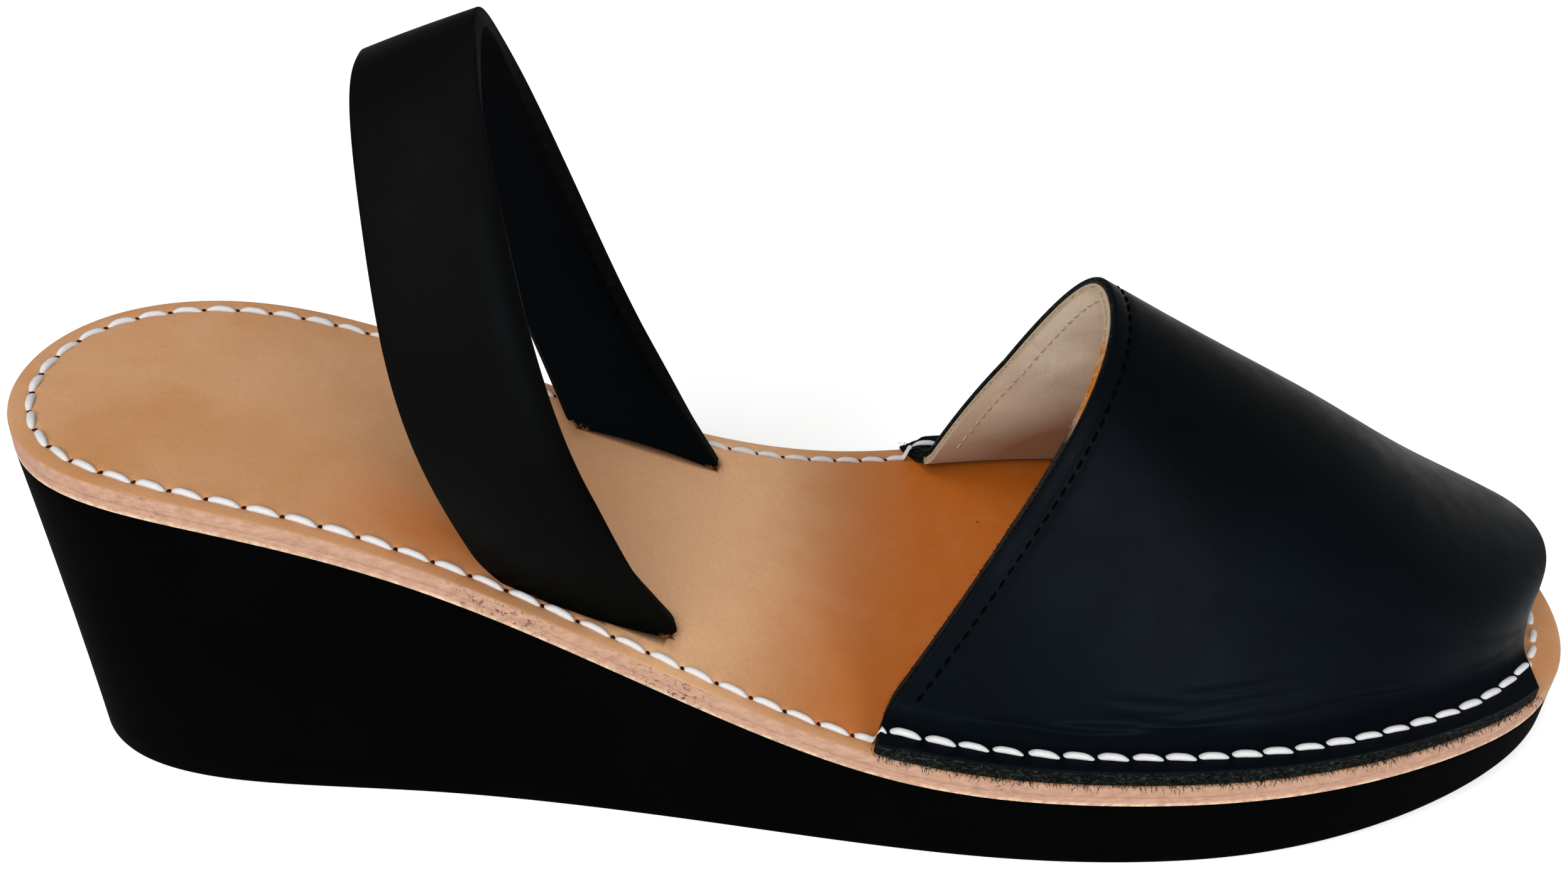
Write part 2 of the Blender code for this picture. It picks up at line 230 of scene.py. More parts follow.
def add_piece(name: str, work: bmesh.types.BMesh, materials: Iterable[bpy.types.Material],
              slot: str, sharp_degrees: float = 50.0) -> bpy.types.Object:
    """Make a bmesh an object that rides on the body.

    Args:
        name: The piece's name.
        work: Its mesh, which is freed.
        materials: Its materials, in the order of its polygons' numbers.
        slot: Name of a material slot; not used.
        sharp_degrees: Edges bent more than this stay sharp.

    Returns:
        The new object.
    """
    mesh = bpy.data.meshes.new(name)
    work.to_mesh(mesh)
    work.free()
    for material in materials:
        mesh.materials.append(material)
    mesh.shade_smooth()
    mesh.set_sharp_from_angle(angle=math.radians(sharp_degrees))
    piece = bpy.data.objects.new(name, mesh)
    bpy.context.scene.collection.objects.link(piece)
    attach(piece, BODY)
    LOG.info("%s: %d polygons", name, len(mesh.polygons))
    return piece


def set_field(piece: bpy.types.Object, name: str, rule: Callable[[np.ndarray], np.ndarray]) -> None:
    """Store a number at each vertex of a piece, worked out from its place.

    Args:
        piece: The object.
        name: The attribute's name, which a material reads.
        rule: Gives one number for each row of an array of places.
    """
    mesh = piece.data
    places = np.empty(len(mesh.vertices) * 3)
    mesh.vertices.foreach_get("co", places)
    values = rule(places.reshape(-1, 3)).astype(np.float32)
    mesh.attributes.new(name, "FLOAT", "POINT").data.foreach_set("value", values)


# The last

@dataclass(frozen=True)
class Last:
    """Sizes of the foot's form, with the outline and profile that follow from them."""

    length: float = 250.0 * MM
    ball_width: float = 88.6 * MM
    heel_height: float = 53.8 * MM
    forefoot_height: float = 16.0 * MM
    heel_tip: float = 0.015
    toe_tip: float = 0.031
    outline: tuple = (
        # station, outer, inner
        (0.03, 0.205, 0.224),
        (0.12, 0.316, 0.318),
        (0.25, 0.353, 0.306),
        (0.41, 0.430, 0.326),
        (0.59, 0.521, 0.447),
        (0.75, 0.518, 0.465),
        (0.88, 0.417, 0.417),
        (0.97, 0.240, 0.305),
    )
    profile: tuple = (
        # station, rise
        (0.00, 1.000),
        (0.12, 0.950),
        (0.26, 0.696),
        (0.40, 0.307),
        (0.52, 0.056),
        (0.64, 0.005),
        (0.76, 0.000),
        (0.88, -0.005),
        (1.00, -0.037),
    )

    def reach(self, turn: np.ndarray) -> np.ndarray:
        """Give the outline's reach, as a share of the ball width, over the angle.

        Args:
            turn: Outline angles.

        Returns:
            One share for each angle, negative on the outer side.
        """
        stations, outer, inner = np.array(self.outline).T
        angles = np.arccos(1 - 2 * stations)
        knots = np.concatenate(([-math.pi], -angles[::-1], [0], angles, [math.pi]))
        tips = [self.toe_tip]
        reach = np.concatenate((tips, -outer[::-1], [self.heel_tip], inner, tips))
        return SmoothCurve(knots, reach, closed=True)(turn)[:, 0]

    def station_x(self, station: np.ndarray) -> np.ndarray:
        """Give the place along the shoe of a share of its length."""
        return (np.asarray(station) - 0.5) * self.length

    def top(self, x: np.ndarray) -> np.ndarray:
        """Give the height of the insole's top face at places along the shoe.

        Args:
            x: Places along the shoe.

        Returns:
            Heights, in an array of the same shape.
        """
        curve = SmoothCurve(*np.array(self.profile).T)
        share = np.atleast_1d(np.asarray(x, float)) / self.length + 0.5
        rise = curve(share.ravel())[:, 0].reshape(share.shape)
        return self.forefoot_height + (self.heel_height - self.forefoot_height) * rise

    def plan(self, turn: np.ndarray, inset: float = 0.0) -> tuple[np.ndarray, np.ndarray]:
        """Give plan points of the outline.

        Args:
            turn: Outline angles: 0 at the heel, -pi and pi at the toe, negative on the
                outer side.
            inset: How far the points lie inside the outline.

        Returns:
            The points and the outward normals, both of shape (count, 2).
        """
        def points(angle: np.ndarray) -> np.ndarray:
            """Give plan points of the bare outline."""
            x = self.station_x((1 - np.cos(angle)) / 2)
            return np.column_stack((x, self.ball_width * self.reach(angle)))

        step = 1e-4
        along = points(np.clip(turn + step, -math.pi, math.pi)) - points(
            np.clip(turn - step, -math.pi, math.pi))
        along[np.abs(turn) > math.pi - step] = (0.0, -1.0)
        along = unit(along)
        normals = np.column_stack((-along[:, 1], along[:, 0]))
        return points(turn) - inset * normals, normals

    def side_angle(self, station: float, side: Side) -> float:
        """Give the outline angle of a station on one side."""
        return side.value * math.acos(1 - 2 * float(station))

    def ring_turns(self, spacing: float) -> np.ndarray:
        """Give angles that pair off across the shoe and lie about evenly along its edge.

        Args:
            spacing: About how far apart the points lie.

        Returns:
            Angles from -pi up to, but not including, pi.
        """
        half = np.linspace(0, math.pi, 2001)
        lengths = []
        for side in Side:
            points, _ = self.plan(side.value * half)
            steps = np.linalg.norm(np.diff(points, axis=0), axis=1)
            lengths.append(np.concatenate(([0], np.cumsum(steps))))
        travel = np.mean(lengths, axis=0)
        count = int(round(travel[-1] / spacing))
        turns = np.interp(np.linspace(0, travel[-1], count + 1), travel, half)
        return np.concatenate((-turns[:0:-1], turns[:-1]))


LAST = Last()


def over_insole(places: np.ndarray) -> np.ndarray:
    """Give how far places lie over the insole's top face."""
    return places[:, 2] - LAST.top(places[:, 0])


def layer_ring(turns: np.ndarray, inset: float, pull: float,
               height: Callable[[np.ndarray], np.ndarray]) -> np.ndarray:
    """Give one ring of a slab that follows the outline.

    Args:
        turns: Outline angles, paired across the shoe.
        inset: How far the ring lies inside the outline.
        pull: How much of the way to the middle line the ring is drawn in.
        height: Gives the height at places along the shoe.

    Returns:
        Points of shape (count, 3).
    """
    plan, _ = LAST.plan(turns, inset)
    partner = np.roll(plan[::-1], 1, axis=0)
    middle = (plan + partner) / 2
    plan = plan + pull * (middle - plan)
    return np.column_stack((plan, height(plan[:, 0])))


# Materials

def hex_colour(code: str) -> tuple[float, float, float, float]:
    """Turn an sRGB hex colour into linear red, green, blue and alpha.

    Args:
        code: The colour, such as #c5956c.

    Returns:
        The four channels, from 0 to 1.
    """
    channels = [int(code[i:i + 2], 16) / 255 for i in (1, 3, 5)]
    linear = [c / 12.92 if c <= 0.04045 else ((c + 0.055) / 1.055) ** 2.4 for c in channels]
    return (*linear, 1.0)


def add_node(tree: bpy.types.NodeTree, kind: str, inputs: dict | None = None,
             **settings: object) -> bpy.types.Node:
    """Add a node with its settings, values and links.

    Args:
        tree: The tree that it goes into.
        kind: The node's type.
        inputs: Input names or numbers, each with a value or with a socket to link.
        settings: The node's own properties.

    Returns:
        The node.
    """
    node = tree.nodes.new(kind)
    for name, value in settings.items():
        setattr(node, name, value)
    for key, value in (inputs or {}).items():
        if isinstance(value, bpy.types.NodeSocket):
            tree.links.new(value, node.inputs[key])
        else:
            node.inputs[key].default_value = value
    return node


def per_metre(size_mm: float) -> float:
    """Give the texture scale at which one repeat is as long as a size in millimetres."""
    return 1000.0 / size_mm


def mix_colours(tree: bpy.types.NodeTree, share: object, first: object,
                second: object) -> bpy.types.NodeSocket:
    """Mix two colours, each a hex code or a socket, by a share.

    Args:
        tree: The tree that the node goes into.
        share: How much of the second colour there is, as a number or a socket.
        first: The first colour.
        second: The second colour.

    Returns:
        The mixed colour.
    """
    values = [hex_colour(c) if isinstance(c, str) else c for c in (first, second)]
    node = add_node(tree, "ShaderNodeMix", {0: share, 6: values[0], 7: values[1]},
                    data_type="RGBA")
    return node.outputs[2]


def noise(tree: bpy.types.NodeTree, size_mm: float, detail: float = 3.0, rough: float = 0.55,
          vector: object = None, warp: float = 0.0) -> bpy.types.NodeSocket:
    """Add a cloudy pattern whose spots are about as large as a size in millimetres.

    Args:
        tree: The tree that the node goes into.
        size_mm: About how large its spots are.
        detail: How many finer layers it has.
        rough: How strong those are.
        vector: Coordinates to read, or None for the piece's own.
        warp: How far the spots are drawn out of shape.

    Returns:
        The pattern, from 0 to 1.
    """
    if vector is None:
        vector = add_node(tree, "ShaderNodeTexCoord").outputs["Object"]
    inputs = {"Vector": vector, "Scale": per_metre(size_mm), "Detail": detail,
              "Roughness": rough, "Distortion": warp}
    return add_node(tree, "ShaderNodeTexNoise", inputs).outputs[0]


def ramp(tree: bpy.types.NodeTree, value: bpy.types.NodeSocket, low: float, high: float,
         start: float = 0.0, end: float = 1.0) -> bpy.types.NodeSocket:
    """Map a range of a value onto another range, and hold it there."""
    inputs = {"Value": value, "From Min": low, "From Max": high, "To Min": start, "To Max": end}
    return add_node(tree, "ShaderNodeMapRange", inputs, clamp=True).outputs[0]


def bump(tree: bpy.types.NodeTree, height: bpy.types.NodeSocket, depth_mm: float,
         strength: float = 1.0, under: object = None) -> bpy.types.NodeSocket:
    """Raise a pattern by a depth in millimetres, over an earlier normal if one is given.

    Args:
        tree: The tree that the node goes into.
        height: The pattern.
        depth_mm: How high it stands where it is 1.
        strength: Share of that which is used.
        under: An earlier normal.

    Returns:
        The new normal.
    """
    inputs = {"Height": height, "Distance": depth_mm * MM, "Strength": strength}
    if under is not None:
        inputs["Normal"] = under
    return add_node(tree, "ShaderNodeBump", inputs).outputs[0]


def combine(tree: bpy.types.NodeTree, operation: str, first: object,
            second: object) -> bpy.types.NodeSocket:
    """Combine two numbers or sockets by one operation."""
    return add_node(tree, "ShaderNodeMath", {0: first, 1: second}, operation=operation).outputs[0]


def attribute(tree: bpy.types.NodeTree, name: str) -> bpy.types.NodeSocket:
    """Read a number that a piece stores at its vertices."""
    return add_node(tree, "ShaderNodeAttribute", attribute_name=name).outputs["Fac"]


def stretched(tree: bpy.types.NodeTree, scale: tuple[float, float, float]) -> bpy.types.NodeSocket:
    """Give Object coordinates, pressed or stretched along each axis."""
    place = add_node(tree, "ShaderNodeTexCoord").outputs["Object"]
    return add_node(tree, "ShaderNodeMapping", {"Vector": place, "Scale": scale}).outputs[0]


@dataclass(frozen=True)
class Finish:
    """A material's name and the plain numbers of its surface."""

    name: str
    roughness: float = 0.5
    specular: float = 0.5
    coat: float = 0.0
    coat_roughness: float = 0.3
    sheen: float = 0.0
    ior: float = 1.5

    def start(self) -> tuple[bpy.types.Material, bpy.types.NodeTree, bpy.types.Node]:
        """Make the material with its plain numbers set.

        Returns:
            The material, its node tree and its Principled shader.
        """
        material = bpy.data.materials.new(self.name)
        material.use_nodes = True
        tree = material.node_tree
        shader = tree.nodes["Principled BSDF"]
        shader.inputs["Roughness"].default_value = self.roughness
        shader.inputs["IOR"].default_value = self.ior
        shader.inputs["Specular IOR Level"].default_value = self.specular
        shader.inputs["Coat Weight"].default_value = self.coat
        shader.inputs["Coat Roughness"].default_value = self.coat_roughness
        shader.inputs["Sheen Weight"].default_value = self.sheen
        return material, tree, shader


@dataclass(frozen=True)
class SmoothBlackLeather(Finish):
    """Full-grain calf, drum-dyed black and lightly waxed: deep black with a cool sheen."""

    deep: str = "#030404"
    cool: str = "#04070b"
    sheen_tint: str = "#a9c8f2"
    # Painted highlight colour, laid along the fold of the strap's front edge
    fold_highlight: str = "#0e1317"
    # Real pores are about 0.15 mm apart; they are drawn coarser, so that they show
    pore_mm: float = 0.55
    dimple_mm: float = 11.0
    polish_mm: float = 5.0
    cloud_mm: float = 38.0

    def build(self) -> bpy.types.Material:
        """Make the material.

        Returns:
            The material.
        """
        material, tree, shader = self.start()
        cloud = noise(tree, self.cloud_mm, 2.0)
        colour = mix_colours(tree, ramp(tree, cloud, 0.35, 0.65), self.deep, self.cool)
        # Painted highlight: the strap's front fold is mixed towards a paler grey
        colour = mix_colours(tree, attribute(tree, "fold_highlight"), colour, self.fold_highlight)
        tree.links.new(colour, shader.inputs["Base Color"])
        shader.inputs["Specular Tint"].default_value = hex_colour(self.sheen_tint)
        place = add_node(tree, "ShaderNodeTexCoord").outputs["Object"]
        cells = add_node(tree, "ShaderNodeTexVoronoi",
                         {"Vector": place, "Scale": per_metre(self.pore_mm)}).outputs[0]
        fine = noise(tree, self.pore_mm * 2.6, 4.0)
        soft = bump(tree, noise(tree, self.dimple_mm, 2.0), 0.12, 0.35)
        grain = bump(tree, combine(tree, "ADD", cells, fine), 0.035, 0.55, soft)
        tree.links.new(grain, shader.inputs["Normal"])
        gloss = ramp(tree, noise(tree, self.polish_mm, 4.0), 0.3, 0.7,
                     self.roughness - 0.05, self.roughness + 0.07)
        tree.links.new(gloss, shader.inputs["Roughness"])
        return material


@dataclass(frozen=True)
class FibrousEdge(Finish):
    """Cut edge of black leather, left raw: grey-green fibres in a dark, rough band."""

    dark: str = "#050605"
    light: str = "#434d4a"
    # Bundles of fibres; a single one, of about 0.05 mm, is too fine to show
    fibre_mm: float = 0.8

    def build(self) -> bpy.types.Material:
        """Make the material.

        Returns:
            The material.
        """
        material, tree, shader = self.start()
        along = stretched(tree, (1.0, 1.0, 2.2))
        fibres = noise(tree, self.fibre_mm, 6.0, 0.75, along, 0.6)
        colour = mix_colours(tree, ramp(tree, fibres, 0.5, 0.72), self.dark, self.light)
        tree.links.new(colour, shader.inputs["Base Color"])
        tree.links.new(bump(tree, fibres, 0.5, 1.0), shader.inputs["Normal"])
        return material


@dataclass(frozen=True)
class TannedLeather(Finish):
    """Vegetable-tanned shoulder, smooth side up: peach tan, browner where it was wetted."""

    pale: str = "#c5956c"
    tan: str = "#b98354"
    darkened: str = "#b66016"
    # Painted light: paler colour over the arch between strap and vamp
    arch_light_colour: str = "#dcab80"
    grain: str = "#8d5c33"
    speck: str = "#4b2a14"
    stain: str = "#4a2209"
    # The real grain is about 0.2 mm; it is drawn coarser, so that it shows
    grain_mm: float = 0.5
    mottle_mm: float = 5.0
    cloud_mm: float = 26.0
    speck_mm: float = 17.0

    def build(self) -> bpy.types.Material:
        """Make the material.

        Returns:
            The material.
        """
        material, tree, shader = self.start()
        cloud = noise(tree, self.cloud_mm, 3.0, 0.5, None, 0.4)
        base = mix_colours(tree, ramp(tree, cloud, 0.35, 0.68), self.pale, self.tan)
        # Painted light makes the arch between strap and vamp paler
        base = mix_colours(tree, attribute(tree, "arch_light"), base, self.arch_light_colour)
        mottle = noise(tree, self.mottle_mm, 5.0, 0.6)
        # On the insole this mark is the leather's own browning, not shade
        brown_and_shade = combine(tree, "ADD", attribute(tree, "brown_and_shade"),
                         ramp(tree, mottle, 0.3, 0.7, -0.07, 0.07))
        base = mix_colours(tree, ramp(tree, brown_and_shade, 0.0, 1.0), base, self.darkened)
        grain = noise(tree, self.grain_mm, 5.0, 0.7)
        base = mix_colours(tree, ramp(tree, grain, 0.42, 0.75, 0.0, 0.24), base, self.grain)
        place = add_node(tree, "ShaderNodeTexCoord").outputs["Object"]
        cells = add_node(tree, "ShaderNodeTexVoronoi",
                         {"Vector": place, "Scale": per_metre(self.speck_mm)})
        dots = ramp(tree, cells.outputs[0], 0.012, 0.022, 0.8, 0.0)
        base = mix_colours(tree, dots, base, self.speck)
        base = mix_colours(tree, attribute(tree, "stain"), base, self.stain)
        tree.links.new(base, shader.inputs["Base Color"])
        tree.links.new(bump(tree, grain, 0.05, 0.7), shader.inputs["Normal"])
        return material


@dataclass(frozen=True)
class RawTanEdge(Finish):
    """Cut edge of pale split leather: pinkish tan, layered and fuzzy, a little scuffed, with a
    painted highlight along its lower border.
    """

    pale: str = "#b38e78"
    shade: str = "#9a7560"
    scuff: str = "#3f2d20"
    # Painted highlight along the lower border of the cut edge
    lit: str = "#ecd3b2"
    fuzz: str = "#8f6a4d"
    layer_mm: float = 0.9
    # The real fuzz is about 0.1 mm; it is drawn coarser, so that it shows
    fuzz_mm: float = 0.45
    speck_mm: float = 0.8
    patch_mm: float = 23.0
    break_mm: float = 1.4

    def build(self) -> bpy.types.Material:
        """Make the material.

        Returns:
            The material.
        """
        material, tree, shader = self.start()
        along = stretched(tree, (0.5, 0.5, 1.0))
        layers = noise(tree, self.layer_mm, 5.0, 0.7, along)
        base = mix_colours(tree, ramp(tree, layers, 0.35, 0.7), self.pale, self.shade)
        fuzz = noise(tree, self.fuzz_mm, 5.0, 0.8)
        base = mix_colours(tree, ramp(tree, fuzz, 0.55, 0.8, 0.0, 0.35), base, self.fuzz)
        patch = combine(tree, "MAXIMUM", ramp(tree, noise(tree, self.patch_mm, 2.0), 0.60, 0.72),
                        attribute(tree, "scuffed"))
        specks = ramp(tree, noise(tree, self.speck_mm, 4.0, 0.8), 0.54, 0.62)
        base = mix_colours(tree, combine(tree, "MULTIPLY", patch, specks), base, self.scuff)
        broken = ramp(tree, noise(tree, self.break_mm, 4.0, 0.7), 0.42, 0.58, 0.15, 0.85)
        base = mix_colours(tree, combine(tree, "MULTIPLY", broken, attribute(tree, "lit")),
                           base, self.lit)
        tree.links.new(base, shader.inputs["Base Color"])
        raised = bump(tree, layers, 0.18, 0.7)
        tree.links.new(bump(tree, fuzz, 0.15, 0.7, raised), shader.inputs["Normal"])
        return material


@dataclass(frozen=True)
class SuedeLining(Finish):
    """Napped pigskin split: pinkish beige, matte, with soft brushed clouds."""

    light: str = "#f4edd8"
    shade: str = "#d9ccb5"
    # Painted shade and painted reflected light of the insole, low on the lining and towards the toe
    low: str = "#835634"
    nap: str = "#94806f"
    cloud_mm: float = 13.0
    # The real nap is about 0.1 mm; it is drawn coarser, so that it shows
    nap_mm: float = 0.5

    def build(self) -> bpy.types.Material:
        """Make the material.

        Returns:
            The material.
        """
        material, tree, shader = self.start()
        cloud = noise(tree, self.cloud_mm, 4.0, 0.55, None, 0.6)
        base = mix_colours(tree, ramp(tree, cloud, 0.38, 0.68), self.light, self.shade)
        nap = noise(tree, self.nap_mm, 5.0, 0.8)
        base = mix_colours(tree, ramp(tree, nap, 0.4, 0.75, 0.0, 0.2), base, self.nap)
        # Painted shade and reflected light: the lining browns towards the insole and the toe
        base = mix_colours(tree, attribute(tree, "brown_and_shade"), base, self.low)
        tree.links.new(base, shader.inputs["Base Color"])
        tree.links.new(bump(tree, nap, 0.12, 0.7), shader.inputs["Normal"])
        return material


@dataclass(frozen=True)
class LiningEdge(Finish):
    """Raw rim of the lining with dried glue: beige, orange where the glue shows, dark low on the
    outer side.
    """

    beige: str = "#ae9981"
    glue: str = "#b26a14"
    # Dark colour of the outer side's rim below the glue
    low: str = "#1b120c"
    spot_mm: float = 1.6
    fibre_mm: float = 0.4

    def build(self) -> bpy.types.Material:
        """Make the material.

        Returns:
            The material.
        """
        material, tree, shader = self.start()
        spots = ramp(tree, noise(tree, self.spot_mm, 4.0, 0.7), 0.36, 0.5)
        glued = combine(tree, "MULTIPLY", spots, attribute(tree, "glue"))
        base = mix_colours(tree, glued, self.beige, self.glue)
        base = mix_colours(tree, attribute(tree, "darkened"), base, self.low)
        tree.links.new(base, shader.inputs["Base Color"])
        raised = bump(tree, noise(tree, self.fibre_mm, 4.0), 0.15, 0.8)
        tree.links.new(raised, shader.inputs["Normal"])
        return material


@dataclass(frozen=True)
class MouldedFoam(Finish):
    """Moulded foam rubber, black: matte, with a very fine even grain from the mould."""

    colour: str = "#010101"
    worn: str = "#020202"
    cloud_mm: float = 20.0
    # The mould's grain is about 0.2 mm; it is drawn coarser, so that it shows
    grain_mm: float = 0.5

    def build(self) -> bpy.types.Material:
        """Make the material.

        Returns:
            The material.
        """
        material, tree, shader = self.start()
        cloud = ramp(tree, noise(tree, self.cloud_mm, 3.0), 0.4, 0.7)
        base = mix_colours(tree, cloud, self.colour, self.worn)
        tree.links.new(base, shader.inputs["Base Color"])
        grain = bump(tree, noise(tree, self.grain_mm, 4.0, 0.7), 0.05, 0.7)
        tree.links.new(grain, shader.inputs["Normal"])
        return material


@dataclass(frozen=True)
class WaxedThread(Finish):
    """Plied linen thread, white and waxed: off-white, with the lay of its strands."""

    white: str = "#cbcaca"
    shade: str = "#7b797a"
    lay_mm: float = 0.75
    fuzz_mm: float = 0.3

    def build(self) -> bpy.types.Material:
        """Make the material.

        Returns:
            The material.
        """
        material, tree, shader = self.start()
        turns = combine(tree, "MULTIPLY", attribute(tree, "lay"), 2 * math.pi / self.lay_mm)
        strands = ramp(tree, combine(tree, "SINE", turns, 0.0), -1.0, 1.0)
        fuzz = noise(tree, self.fuzz_mm, 5.0, 0.8)
        base = mix_colours(tree, ramp(tree, strands, 0.0, 0.45, 0.35, 0.0), self.white, self.shade)
        base = mix_colours(tree, ramp(tree, fuzz, 0.5, 0.75, 0.0, 0.35), base, self.shade)
        tree.links.new(base, shader.inputs["Base Color"])
        raised = bump(tree, strands, 0.09, 0.8)
        tree.links.new(bump(tree, fuzz, 0.06, 0.7, raised), shader.inputs["Normal"])
        return material


@dataclass(frozen=True)
class DullTone(Finish):
    """Two close, matte tones in small spots, for thread holes, thin thread and loose fibres."""

    colour: str = "#1d0d05"
    other: str = "#2b160b"
    spot_mm: float = 0.5

    def build(self) -> bpy.types.Material:
        """Make the material.

        Returns:
            The material.
        """
        material, tree, shader = self.start()
        spots = ramp(tree, noise(tree, self.spot_mm, 3.0), 0.4, 0.6)
        base = mix_colours(tree, spots, self.colour, self.other)
        tree.links.new(base, shader.inputs["Base Color"])
        return material


# Sub-assemblies

@dataclass
class WedgeSole:
    """Moulded wedge under the leather layers."""

    top_depth: float = 3.96 * MM
    heel_rake: float = math.radians(5.8)
    side_flare: float = math.radians(1.3)
    toe_spring: float = 6.3 * MM
    spring_station: float = 0.70
    edge_round: float = 0.6 * MM
    spacing: float = 1.2 * MM
    wall_rows: int = 12

    def deck(self, x: np.ndarray) -> np.ndarray:
        """Give the height of the sole's top face at places along the shoe."""
        return LAST.top(x) - self.top_depth

    def underside(self, x: np.ndarray) -> np.ndarray:
        """Give the height of the sole's underside at places along the shoe.

        Args:
            x: Places along the shoe.

        Returns:
            Heights, in an array of the same shape.
        """
        start = LAST.station_x(self.spring_station)
        share = np.clip((x - start) / (LAST.station_x(1.0) - start), 0, 1)
        return self.toe_spring * share ** 2

    def wall_ring(self, turns: np.ndarray, down: float, inset: float, lift: float) -> np.ndarray:
        """Give a ring of the side wall.

        Args:
            turns: Outline angles.
            down: Share of the way from the top to the underside.
            inset: How far the ring is drawn in.
            lift: How far it is raised over its place.

        Returns:
            Points of shape (count, 3).
        """
        plan, normals = LAST.plan(turns)
        top = self.deck(plan[:, 0])
        bottom = self.underside(plan[:, 0])
        height = top + (bottom - top) * down + lift
        backward = np.clip(-normals[:, 0], 0, 1) ** 2
        slant = math.tan(self.heel_rake) * backward
        slant -= math.tan(self.side_flare) * normals[:, 1] ** 2
        moved = slant * (top - height) + inset
        return np.column_stack((plan - normals * moved[:, None], height))

    def pulled(self, ring: np.ndarray, pull: float,
               height: Callable[[np.ndarray], np.ndarray]) -> np.ndarray:
        """Draw a ring towards the middle line, at heights worked out along the shoe.

        Args:
            ring: Its points, paired across the shoe.
            pull: How much of the way to the middle line it is drawn.
            height: Gives the height at places along the shoe.

        Returns:
            Points of the same shape.
        """
        partner = np.roll(ring[::-1], 1, axis=0)
        plan = ring[:, :2] + pull * ((ring + partner)[:, :2] / 2 - ring[:, :2])
        return np.column_stack((plan, height(plan[:, 0])))

    def build(self, rubber: bpy.types.Material) -> bpy.types.Object:
        """Build the wedge.

        Args:
            rubber: Its material.

        Returns:
            The piece.
        """
        turns = LAST.ring_turns(self.spacing)
        upper = self.wall_ring(turns, 0.0, self.edge_round / 2, 0.0)
        lower = self.wall_ring(turns, 1.0, self.edge_round, 0.0)
        pulls = (1.0, 0.75, 0.5, 0.25, 0.08)
        rings = [self.pulled(upper, pull, self.deck) for pull in pulls]
        rings.append(upper)
        rings.append(self.wall_ring(turns, 0.0, self.edge_round / 8, -self.edge_round / 4))
        for row in range(self.wall_rows + 1):
            down = row / self.wall_rows
            lift = self.edge_round * (2 * down - 1)
            rings.append(self.wall_ring(turns, down, 0.0, lift))
        rings.append(self.wall_ring(turns, 1.0, self.edge_round * 0.3, self.edge_round * 0.3))
        rings.append(lower)
        rings.extend(self.pulled(lower, pull, self.underside) for pull in pulls[::-1])
        piece = add_piece("wedge_body", closed_rings(rings), [rubber], "wedge_rubber")
        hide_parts("wedge_sole")
        return piece


